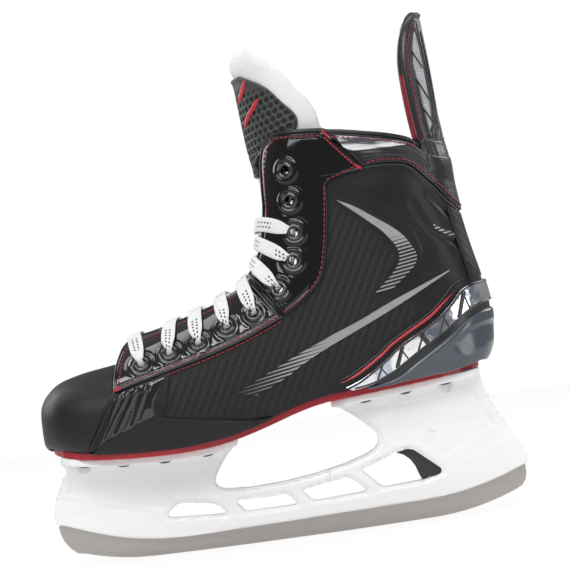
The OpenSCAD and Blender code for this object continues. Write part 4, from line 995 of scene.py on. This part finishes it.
# ------------------------------------------------------------------ collar
COLLAR_TOP = [[54.4, 243], [62, 242.2], [75, 239.6], [90, 236.4], [101, 233], [106.6, 229.4], [113, 223.6],
              [120, 221.4], [127.9, 220.8]]
COLLAR_LOW = [[74, 220.6], [84, 221.2], [95, 220.4], [101, 218.6], [106, 214.6], [112, 208], [118, 201],
              [124, 193.6], [130.6, 187]]


def collar_relief(P, e):
    x, z = P[..., 0], P[..., 2]
    top, low = curve_at(COLLAR_TOP, x), curve_at(COLLAR_LOW, np.clip(x, 74, 130))
    share = np.clip((z - low) / np.maximum(top - low, 4), 0, 1)
    ribs = wave(share, 1 / 3.2, .6) * smooth(share, .12, .3) * smooth(.85 - share, 0, .2)
    ribs = ribs * smooth(x, 66, 84) * (1 - smooth(x, 106, 116))
    seam_line = bell(line_distance(P, [[113.6, 222], [113, 212], [116, 206]]), .5)
    return .34 * ribs + .9 * smooth(share, .4, .9) * smooth(x, 58, 80) - .4 * seam_line


o = band("collar_leather", COLLAR_TOP, COLLAR_LOW, .2, 2.2, 1.0, "collar", 180, 60, relief=collar_relief)
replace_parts(o, "collar")
for side, word in SIDES:
    # the collar trim's chrome carries streaks of painted reflection in its colour
    o = panel("collar_trim_" + word, [[60, 241.2], [70, 239.2], [86, 235.8], [103, 231.4]],
              [[64, 233.4], [70, 230.6], [85, 230], [101, 230]], side, 1.9, 3.35, .7, "painted_reflection_chrome", 60, 20)
    if side < 0:
        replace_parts(o, "collar_trims")

# the rolled binding along the top of the facings and collar
for side, word in SIDES:
    top = [[14.6, 231], [16.4, 238.4], [20, 243.6], [25, 246.6], [38, 246.6], [51, 245.6], [56, 244.2], [64, 243],
           [76, 240.6], [91, 237.4], [102, 234], [107.4, 230.6], [110.6, 227.6]]
    cords("top_binding_" + word, [top], side, .2, (3.2, 4.6, 8), "binding")
    seam("collar_trim_" + word + "_red_seam",
         [[[57, 240.4], [64, 239.4], [76, 236.9], [91, 233.6], [100, 230.9], [104.6, 229.4]]],
         "red_thread", 3.55, side, width=.8)
    line = [[76, 222.2], [84, 222.9], [95, 222], [102, 220], [107.4, 215.6], [113.4, 209], [119.4, 202], [125.4, 194.6],
            [130, 189.6]]
    seam("collar_" + word + "_red_seam", [line], "red_thread", 2.75, side, width=.8)
    edge = [[74, 219.6], [84, 220], [95, 219.2], [100.6, 217.4], [105.4, 213.6], [111.4, 207], [117.4, 200],
            [123.4, 192.6], [129.6, 187]]
    cords("collar_edge_" + word, [edge], side, .5, (1.8, 1.8, 5), "binding")

# ------------------------------------------------------------------ tendon guard
GUARD_FRONT = [[113, 230], [110.8, 236], [109, 250], [108, 262], [107.3, 276], [107.5, 286], [108.9, 295],
               [111.2, 302], [114.4, 307.4], [118.2, 311]]
GUARD_BACK = [[127.3, 224.8], [126.4, 234], [125.6, 247], [125, 258], [124.3, 271], [123.7, 283], [123.1, 293],
              [122.6, 302], [121.8, 312.2]]
INLAY = [[118.6, 236], [116.6, 250], [115.6, 262], [114.4, 270], [113.7, 280], [114.6, 290], [117, 300.4], [118.6, 297],
         [119.6, 284], [120.8, 268], [121, 252], [120.2, 240]]


def guard_relief(P, e):
    edge = .9 * bell(e - 2.0, 1.6) - .55 * bell(e - 4.4, .8)
    pocket = -.9 * smooth(polygon_distance(P, INLAY), -.7, .4)
    back = polygon_distance(P, INLAY) < -.8
    ribs = wave(P[..., 0] - curve_at([[224, 121], [250, 121.6], [280, 120.6], [302, 119]], P[..., 2]), 2.1)
    return edge + pocket + .2 * ribs * back * (P[..., 0] > 118.5) * smooth(e, 4, 7)


o = shell("tendon_guard_leather", BODY, *half_tube_uv(GUARD_FRONT, GUARD_BACK, 110, 110, 2.2),
          -2.4, 1.2, 2.2, "guard", "tendon_guard", relief=guard_relief)
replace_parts(o, "tendon_guard")
front = [[x + 1.9, z] for x, z in GUARD_FRONT[1:-1]]
back = [[x, min(z, 308.4)] for x, z in GUARD_BACK[1:]]
u, v, side = half_tube_uv(front, back, 60, 60, 1.6)
o = shell("tendon_guard_pad", BODY, u, v, side, -5.4, -2.2, 1.6, "red_lining", "tendon_guard",
          inner_relief=lambda P, e: .5 * smooth(e, 2, 12) - .35 * (np.sin(P[..., 2] * 2 * np.pi / 9) > .93))
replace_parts(o, "tendon_guard_lining")
# the red cloth gives way to black from this row to the top
first_black = np.argmax(skin(BODY, u, v, side)[:, 0, 2] > 276)
repaint(o, "guard", [min(k % u.size for k in p.vertices) // u.shape[1] >= first_black for p in o.data.polygons])
GUARD_LINES = [[[113.2, 288], [119.4, 276]], [[113.6, 270.6], [121, 255.4]], [[115.2, 252.6], [121.2, 241.8]],
               [[121.7, 240], [122, 256], [121.2, 276], [119.6, 296]],
               [[123.4, 236], [123.6, 256], [122.6, 278], [121, 300]]]
for side, word in SIDES:
    left = [[118.4, 237.4], [116.8, 250], [115.8, 262], [114.8, 270.5], [114.2, 280], [115, 290], [117.1, 299]]
    right = [[120, 241], [120.7, 252], [120.5, 262], [120.1, 272], [119.4, 283], [118.8, 291], [117.8, 299.4]]
    o = panel("guard_mesh_" + word, left, right, side, -.4, .75, .4, "mesh", 70, 12, body="tendon_guard")
    if side < 0:
        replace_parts(o, "tendon_guard_inlays")
    cords("guard_ribs_" + word, GUARD_LINES, side, 1.0, (1.0, 1.3, 3), "guard", "tendon_guard")
    line = [[112.6, 238], [111.7, 250], [110.9, 262], [110.3, 276], [110.6, 286], [112.2, 294.6], [114.6, 301.4],
            [118, 306.8]]
    seam("guard_seam_" + word, [line], "red_thread", 1.75, side, "tendon_guard", width=.8)
    cords("guard_rim_" + word, [[[111.6, 301.6], [114.8, 306.8], [118.2, 310], [121.4, 311.2]]], side, -1.4,
          (3.4, 3.0, 8), "guard", "tendon_guard")

# ------------------------------------------------------------------ tongue
o = shell("tongue_lower_pad", BODY, *strip_uv([[2.2, .36], [7.7, .36]], 70, 60, 2.6), -11.4, -4.9, 2.6, "felt",
          relief=lambda P, e: -.5 * bell(np.abs(P[..., 1]) - 12, 1.2))
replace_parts(o, "tongue_lower_felt")
TOP_REACH = [[.9, .12], [3.6, .12], [4.1, .14]] + [
    [u, .53 - .285 * (u / 4.45 - 1) ** 2.4] for u in np.linspace(4.45, 8.9, 24)]
o = shell("tongue_top_pad", TONGUE, *strip_uv(TOP_REACH, 110, 70, 3.4), -7, 0, 3.4, "felt", "tongue_top")
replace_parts(o, "tongue_top_felt")
SHIELD_REACH = [[2.7, .1], [3.4, .14], [3.9, .26], [4.4, .42], [5, .47], [5.8, .41], [6.6, .32], [7.3, .17]]
CELL_HIGH, CELL_WIDE = 4.3, 5.2


def cells_at(P):
    """1 inside the sunk cells of the shield, 0 on the walls between them."""
    across, z = np.abs(P[..., 1]) + .9 * np.maximum(0, P[..., 0] - 8), P[..., 2] - .3 * P[..., 0]
    row = np.round(z / CELL_HIGH)
    dz = (z - row * CELL_HIGH) / 1.65
    place = (across + CELL_WIDE / 2 * (row % 2)) / CELL_WIDE
    dy = (place - np.round(place)) * CELL_WIDE / 1.9
    return smooth(1 - (dz ** 4 + dy ** 4), 0, .35) * (1 - smooth(P[..., 2], 272, 280))


def cell_relief(P, e):
    return -1.1 * cells_at(P) * smooth(e, 2.2, 3.4) + .35 * bell(e - 1.2, .8)


# the cell attribute carries the painted shade of the sunk cells into the rubber's colour
o = shell("tongue_shield_rubber", TONGUE, *strip_uv(SHIELD_REACH, 180, 260, 1.0), .1, 2.4, 1.0, "rubber", "tongue_top",
          relief=cell_relief, attributes={"cell": cells_at})
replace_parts(o, "tongue_shield")
for side, word in SIDES:
    joined("tongue_accents_" + word, [cord_part(*on_side(TONGUE, line, side, 2.4), width, 1.6, 5) for line, width in (
        ([[12.4, 283.8], [11, 279], [9, 274.6], [7.2, 270.8]], 3.8),
        ([[18.8, 270.6], [15.4, 266], [11.6, 261], [8.8, 255]], 3.2))], "red_rubber", "tongue_top")

# ------------------------------------------------------------------ skin that flexes between collar and tendon guard
def flex_relief(P, e):
    return .08 * wave(P[..., 0] + P[..., 2] * .12, 3.4) * smooth(e, 1.5, 3) - .85 * smooth(P[..., 2], 220, 232)


u, v, side = half_tube_uv([[109.6, 218], [110.6, 224], [111.4, 229], [112, 233]],
                          [[128.8, 207], [128, 216], [127.3, 225], [126.9, 233]], 36, 100, .7)
o = shell("guard_flex_leather", BODY, u, v, side, .9, 2.4, .7, "guard", None, relief=flex_relief)
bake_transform(o)
for side, word in SIDES:
    seam("collar_corner_seam_" + word, [[[104.6, 229.7], [109.4, 229.5]]], "red_thread", 2.7, side, width=.8)
    o = seam("guard_corner_seam_" + word, [[[110.8, 230], [112.3, 232.2], [113, 235.2], [112.9, 238.6]]],
             "red_thread", 2.7, side, None, width=.8)
    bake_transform(o)

# ------------------------------------------------------------------ pads and linings inside the boot
def new_mesh(o):
    return bpy.data.meshes.new_from_object(o.evaluated_get(bpy.context.evaluated_depsgraph_get()))


def vectors_of(items, key):
    q = np.empty(len(items) * 3, np.float32)
    items.foreach_get(key, q)
    return q.reshape(-1, 3).astype(float)


def points_of(mesh):
    return vectors_of(mesh.vertices, "co") / MM


def set_points(mesh, P):
    mesh.vertices.foreach_set("co", (np.asarray(P) * MM).astype(np.float32).ravel())
    mesh.update()


def with_modifier(o, kind, **props):
    """The object takes the mesh that the modifier makes of it."""
    m = o.modifiers.new(kind.lower(), kind)
    for k, w in props.items():
        setattr(m, k, w)
    mesh = new_mesh(o)
    o.modifiers.remove(m)
    o.data = mesh
    mesh.polygons.foreach_set("use_smooth", [True] * len(mesh.polygons))
    return o


def inflate(o, voxel, cap, outward_cap=None):
    """Cloth simulation with air pressure inside; no point moves more than the cap."""
    with_modifier(o, "REMESH", mode="VOXEL", voxel_size=voxel * MM)
    with_modifier(o, "SMOOTH", factor=.5, iterations=6)
    before = points_of(o.data)
    m = o.modifiers.new("cloth", "CLOTH")
    m.settings.use_pressure = True
    m.settings.uniform_pressure_force = 4
    m.settings.effector_weights.gravity = 0
    m.settings.quality = 4
    for frame_number in range(1, 21):
        bpy.context.scene.frame_set(frame_number)
    mesh = new_mesh(o)
    o.modifiers.remove(m)
    o.data = mesh
    bpy.context.scene.frame_set(1)
    move = points_of(mesh) - before
    size = np.linalg.norm(move, axis=1, keepdims=True)
    move *= np.minimum(1, cap / np.maximum(size, 1e-6))
    if outward_cap is not None:  # away from the boot's middle line
        out = unit((before - np.clip(before[:, :1], -70, 92) * [1, 0, 0]) * [1, 1, 0])
        push = np.sum(move * out, axis=1, keepdims=True)
        move -= out * np.maximum(0, push - outward_cap)
    set_points(mesh, before + move)
    return with_modifier(o, "SUBSURF", levels=1, render_levels=1)


MARGIN = [-101, -84, -64, -44, -22, 0, 24, 48, 72, 96, 115]
PAD_FRONT = [[-92, 94], [-84.5, 101], [-68.5, 106], [-48.5, 111], [-28.5, 116], [-8.5, 122.6], [9.5, 130],
             [23.5, 139.4], [35.5, 151], [42.6, 163], [47.6, 181], [50, 201], [50.6, 218], [51, 230.6], [52, 239.4]]
PAD_BOTTOM = on_sole(MARGIN, 6) + [[133.2, 101], [138.8, 115], [135, 154], [127, 215]]
QUILT_LINES = [[[62, 228], [70, 205], [88, 188], [112, 180]], [[56, 200], [66, 180], [84, 166], [116, 158]]]


def quilting(P, e):
    dip = sum(bell(line_distance(P, q), 2.4) for q in QUILT_LINES)
    ankle_pit = np.exp(-(((P[..., 0] - 88) / 18) ** 2 + ((P[..., 2] - 172) / 14) ** 2))
    return .7 * smooth(e, 0, 14) - dip - .9 * ankle_pit


for side, word in SIDES:
    o = panel("ankle_pad_" + word, PAD_FRONT, PAD_BOTTOM, side, -7.2, -3.2, 1.8, "liner", 130, 80, v_most=.999,
              inner_relief=quilting)
    inflate(o, 1.9, 1.2, .1)
    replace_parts(o, "foam_" + word, "lining_" + word)

for side, word in SIDES:  # the lasted edge of the upper, turned in under the footbed
    panel("sole_margin_" + word, on_sole(MARGIN, 10), on_sole(MARGIN, .6), side, -2.6, -.5, .6, "liner", 100, 12)
u = np.linspace(.4, 10, 60)
right, left = (base(BODY, u, np.full(60, .99), side)[:, None] for side in (1.0, -1.0))
t = np.linspace(.02, .98, 12)[None, :, None]
plate = right * t + left * (1 - t)
add_mesh("sole_margin_plate", *solid_of(plate + [0, 0, 1.3], plate + [0, 0, .4]), "liner")

inflate(bpy.data.objects["tongue_top_pad"], 1.9, 1.3)
inflate(bpy.data.objects["tongue_lower_pad"], 1.9, .5)


def copy_of(node, name, material, body, voxel, rounds=2):
    """A new piece with the shape of a CAD node, its edges softened."""
    o = bpy.data.objects.new(name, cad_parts[node].data.copy())
    bpy.context.scene.collection.objects.link(o)
    o.data.materials.clear()
    with_modifier(o, "REMESH", mode="VOXEL", voxel_size=voxel * MM)
    with_modifier(o, "SMOOTH", factor=.5, iterations=rounds)
    o.data.materials.clear()
    o.data.materials.append(MAT[material])
    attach(o, body)
    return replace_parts(o, node)


o = copy_of("footbed", "footbed_pad", "insole", "boot", 1.5, 4)
P, N = points_of(o.data), vectors_of(o.data.vertex_normals, "vector")
top = smooth(N[:, 2], .3, .9)
arch = .9 * bell(P[:, 0] - 25, 26) * smooth(np.abs(P[:, 1]), 8, 24)
rim = bell(line_distance(P[:, [0, 2, 1]], [[-90, 0], [-20, 4], [40, 2], [100, 0]]) - 9, 1.1)
set_points(o.data, P + N * (top * (.35 + arch - .5 * rim))[:, None])

# ------------------------------------------------------------------ blade holder
WINDOWS = (
    [[-73, 22.6], [-72.2, 26], [-66.5, 30.4], [-62, 31], [-46, 28.6], [-40.5, 26.4], [-36.6, 21.4], [-37.5, 20.3]],
    [[-30, 26.6], [-28, 28], [-8, 27.4], [1, 28], [3.6, 26.6], [7.4, 21.6], [6, 20.2], [-24.5, 20.2]],
    [[11.4, 28], [13, 29.2], [40, 33.2], [42.6, 32.2], [51, 24], [50, 22.2], [20, 21], [17, 22]],
    [[50, 35.4], [51, 37], [62, 40.6], [71, 44], [79, 45.4], [83, 44.4], [98.6, 30.6], [98.6, 28.2], [96, 27],
     [84, 24.6], [63, 23.6], [60.5, 24.6]])
ARCH = [[-24, 64.4], [-27, 61], [-31, 57.5], [-36.5, 50], [-40.3, 43.5], [-41, 40], [-39.3, 37.2], [-35, 35.6],
        [-20, 34.6], [0, 35.2], [20, 37.4], [40, 41], [54, 45.2], [59.5, 47.8], [62.4, 51.2], [62.6, 55],
        [60.6, 59.6], [51, 69], [42.5, 75.6], [36.5, 78.4]]
RAIL_TOP = [[-138, 41], [-112, 33.5], [-86, 27], [-75, 23], [-74, 19.6], [-36, 18.2], [8, 18.2], [18, 19.2], [52, 20.2],
            [62, 21.6], [84, 22.6], [98, 25.4], [112, 33], [130, 40.4], [147, 46]]


FACETS = (
    [[-128, 58], [-96, 55], [-66, 33], [-74, 27.4], [-90, 31], [-118, 40], [-134, 45]],
    [[66, 56], [72, 74], [124, 78], [137, 52], [122, 46], [101, 36], [87, 47.6], [70, 48]],
    [[-60, 52], [-44, 52.6], [-42, 46], [-43, 37], [-36, 31.6], [-60, 33.4], [-76, 44]])


def holder_relief(P):
    """Chamfered rims and shallow facets moulded into both sides."""
    h = np.zeros(len(P))
    for w in WINDOWS:
        h -= .8 * smooth(2.4 + polygon_distance(P, w), 0, 2.2)
    h -= 1.1 * smooth(3.6 - line_distance(P, ARCH), 0, 3.2)
    x, z = P[:, 0], P[:, 2]
    rail = curve_at(RAIL_TOP, np.clip(x, -138, 147))
    step = smooth(z - rail, -.7, .7)
    h -= .55 * step * smooth(62 - z, 0, 6)
    for facet in FACETS:
        f = polygon_distance(P, facet)
        h -= .5 * smooth(f, -.6, 2.4) - .3 * bell(f, 1.0)
    return h


def end_ribs(P, N):
    """Small ribs moulded across the end edges of both towers."""
    rear = bell(line_distance(P, [[131, 78], [134, 68.5], [137.6, 61], [143, 51]]), 2.4) * (N[:, 0] > .3)
    front = bell(line_distance(P, [[-131, 58.6], [-135.6, 52], [-140, 43]]), 2.2) * (N[:, 0] < -.3)
    z = P[:, 2]
    place = rear * smooth(z, 50, 56) * smooth(79 - z, 0, 4) + front * smooth(z, 42, 46)
    return .9 * np.maximum(0, wave(z, 5.4)) * place


o = copy_of("holder", "holder_moulding", "holder", "boot", .85, 2)
P, N = points_of(o.data), vectors_of(o.data.vertex_normals, "vector")
flank = smooth(np.abs(N[:, 1]), .5, .85) * (np.abs(P[:, 1]) > 3.4) * (P[:, 2] < curve_at(SOLE_LINE, P[:, 0]) - 4.2)
set_points(o.data, P + N * (flank * holder_relief(P) + end_ribs(P, N))[:, None])

# ------------------------------------------------------------------ lace
FIRST_LACED, LAST_LACED = 2, 9  # places in EYELETS
# height at which the lace from each eyelet crosses the ridge; offset of the runs inside the boot
RIDGE_HEIGHTS = [225, 194, 188, 177.5, 168, 159, 151, 146, 141, 136]
INSIDE = -2.95


def crossing(high):
    """[share of the way, offset from the boot, width] of the lace from one eyelet to the other side's; the lace that
    is high lies over the other one."""
    return [[0, -1.2, 4.2], [.018, 1.2, 4.4], [.038, 3.5, 5.0], [.07, 4.25, 7.6], [.11, 4.15, 8.8], [.2, 3.9, 9.0],
            [.28, 3.55, 8.8], [.34, 2.7, 8.4], [.4, 1.7 if high else .7, 7.6], [.46, 1.05 if high else -.6, 6.4],
            [.5, .7 if high else -1.1, 5.6], [.57, -.8 if high else -2.3, 5.0], [.65, INSIDE, 5.0], [.8, INSIDE, 5.4],
            [.94, INSIDE, 4.6], [1, INSIDE + .4, 4.0]]


def inside_run(high):
    return [[0, INSIDE + .4, 4.0], [.2, INSIDE, 5.4], [.4, INSIDE, 4.6], [.5, -1.1 if high else INSIDE, 4.2],
            [.6, INSIDE, 4.6], [.8, INSIDE, 5.4], [1, INSIDE + .4, 4.0]]


BAR_RUN = [[0, -1.2, 4.2], [.018, 1.2, 4.4], [.038, 3.5, 5.0], [.08, 4.25, 7.8], [.14, 4.15, 8.8], [.34, 3.6, 8.8],
           [.43, 2.5, 8.6], [.5, 2.1, 8.6], [.57, 2.5, 8.6], [.66, 3.6, 8.8], [.86, 4.15, 8.8], [.92, 4.25, 7.8],
           [.962, 3.5, 5.0], [.982, 1.2, 4.4], [1, -1.2, 4.2]]


def ridge_u(z):
    """The row of the body whose ridge is at height z."""
    lo, hi = 0.0, len(BODY) - 1.0
    for _ in range(20):
        mid = (lo + hi) / 2
        lo, hi = (mid, hi) if row_at(BODY, mid)[1] < z else (lo, mid)
    return (lo + hi) / 2


def run(a, b, mid_z, from_side, steps, upto=1.0):
    """Rings of the flat lace: centre, width direction and width, from eyelet place a to place b on the other side."""
    steps = np.array(steps, float)
    t = np.unique(np.concatenate([np.linspace(0, .1, 9), np.linspace(.1, .9, 33), np.linspace(.9, 1, 6)]))
    t = t[t <= upto]
    off, width = (curve_at(steps[:, [0, k]], t) for k in (1, 2))
    a, b, mid = np.array(a), np.array(b), np.array([ridge_u(mid_z), 0])
    uv = np.where(t[:, None] < .5, a + (mid - a) * t[:, None] * 2, mid + (b - mid) * (t[:, None] - .5) * 2)
    s = np.where(t < .5, from_side, -from_side)
    c = skin(BODY, uv[:, 0], uv[:, 1], s, off)
    n = normal(BODY, uv[:, 0], uv[:, 1], s)
    w = unit(np.cross(n, base(BODY, b[0], b[1], -from_side) - base(BODY, a[0], a[1], from_side)))
    uphill = base(BODY, uv[:, 0] + .05, uv[:, 1], s) - base(BODY, uv[:, 0], uv[:, 1], s)
    w *= np.where(np.sum(w * uphill, 1) < 0, -1, 1)[:, None]
    return list(zip(c, w, width))


EYE_UV = np.stack([EYE_U, EYE_V], -1)
TUCK = np.array(to_uv(BODY, 26, 200)).ravel()


def half_lace(side, high):
    """From the front eyelet up to the last laced one, and back into the boot."""
    rings = run(EYE_UV[LAST_LACED], EYE_UV[LAST_LACED - 1], RIDGE_HEIGHTS[LAST_LACED] + 2, side, inside_run(high))
    side = -side
    for k in range(LAST_LACED - 1, FIRST_LACED, -1):
        rings += run(EYE_UV[k], EYE_UV[k - 1], (RIDGE_HEIGHTS[k] + RIDGE_HEIGHTS[k - 1]) / 2, side, crossing(high))
        side = -side
    rings += run(EYE_UV[FIRST_LACED], TUCK, RIDGE_HEIGHTS[1] - 3, side, crossing(high), .74)
    for i in range(1, 5):
        u = TUCK[0] + i * .55
        n = normal(BODY, u, TUCK[1], -side)
        rings.append((skin(BODY, u, TUCK[1], -side, INSIDE - .4 * i), unit(np.cross(n, [0, 0, 1.0])) * side, 3.4))
    return rings


route = half_lace(-1, False)[::-1]
route += run(EYE_UV[LAST_LACED], EYE_UV[LAST_LACED], RIDGE_HEIGHTS[LAST_LACED], -1, BAR_RUN)
route += half_lace(1, True)
centre, across, width = (np.array(q) for q in zip(*route))
keep = np.concatenate([[True], np.linalg.norm(np.diff(centre, axis=0), axis=1) > .25])
centre, across, width = centre[keep], across[keep], width[keep]
for _ in range(2):
    across[1:-1] = unit(across[1:-1] + .5 * (across[2:] + across[:-2]))
    width[1:-1] = (width[1:-1] * 2 + width[2:] + width[:-2]) / 4
    centre[1:-1] = (centre[1:-1] * 2 + centre[2:] + centre[:-2]) / 4
along = unit(np.gradient(centre, axis=0))
across = unit(across - along * np.sum(across * along, 1, keepdims=True))
up = np.cross(along, across)
run_length = distance_along(centre)
PROFILE = np.array([[1, 0], [.94, .72], [.6, .95], [.2, 1], [-.2, 1], [-.6, .95], [-.94, .72], [-1, 0], [-.94, -.72],
                    [-.6, -.95], [-.2, -1], [.2, -1], [.6, -.95], [.94, -.72]])
ring = (centre[:, None] + across[:, None] * (PROFILE[None, :, :1] * width[:, None, None] / 2)
        + up[:, None] * (PROFILE[None, :, 1:] * .55))
n, m = ring.shape[:2]
faces = grid_faces(n, m, around=True).tolist() + [list(range(m))[::-1], list(range((n - 1) * m, n * m))]
o = add_mesh("lace_ribbon", ring.reshape(-1, 3), faces, "lace",
             attributes={"along": np.repeat(run_length, m), "across": np.tile(PROFILE[:, 0] * 4.4, n)})
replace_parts(o, "lace")

tips = []
for c, d in ((centre[0], centre[0] - centre[1]), (centre[-1], centre[-1] - centre[-2])):
    t = np.array([.4, .6, 1.2, 4, 5, 6, 12, 16.6, 17.8, 18.3])
    r = np.array([1.0, 1.3, 1.45, 1.45, 1.3, 1.45, 1.45, 1.4, 1.15, .5])
    P = c + unit(d) * t[:, None]
    tips.append(tube(P, np.tile(unit(np.cross(d, [0, 0, 1.0])), (len(t), 1)), 2 * r, 2 * r, 14))
o = joined("lace_tips", tips, "tip")
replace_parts(o, "aglets")

# ------------------------------------------------------------------ CAD parts that stay, with their own finish
# node: (material, width of the rounded edge)
FINISH = {"runner": ("steel", .35), "hook_pin": ("pin", .3), "trigger": ("trigger", .5),
          "trigger_pivot_pin": ("pin", .3), "trigger_spring": ("pin", 0), "rivets_front": ("rivet", .2),
          "rivets_rear": ("rivet", .2), "rivet_washers": ("washer", .12), "outsole": ("sole", .5),
          "lasting_board": ("board", .3)}
for node, (look, edge) in FINISH.items():
    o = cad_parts[node]
    o.data.materials.clear()
    o.data.materials.append(MAT[look])
    if edge:
        m = o.modifiers.new("edge", "BEVEL")
        m.width, m.segments, m.limit_method, m.angle_limit = edge * MM, 2, "ANGLE", math.radians(35)

# ------------------------------------------------------------------ floor
p = Paint("floor_paper", (0.82, 0.82, 0.82), 0.9, spec=0.1)
p.shade((0.82, 0.82, 0.82), 0.01, 0.01)
seen = p.new("MixShader", {0: p.math("MULTIPLY", p.new("LightPath").outputs["Is Camera Ray"], 0.8)})
p.nt.links.new(p.bsdf.outputs[0], seen.inputs[1])
p.nt.links.new(p.new("Emission", {"Color": (1, 1, 1, 1), "Strength": 1.06}).outputs[0], seen.inputs[2])
p.nt.links.new(seen.outputs[0], p.nt.nodes["Material Output"].inputs["Surface"])
MAT["floor"] = p.mat
rings = np.array([[r * math.cos(t), r * math.sin(t), -0.4] for r in (.06, 250, 700, 1300)
                  for t in np.arange(96) * 2 * np.pi / 96])
floor = add_mesh("floor", rings, grid_faces(4, 96, around=True, flip=True), "floor", body=None)
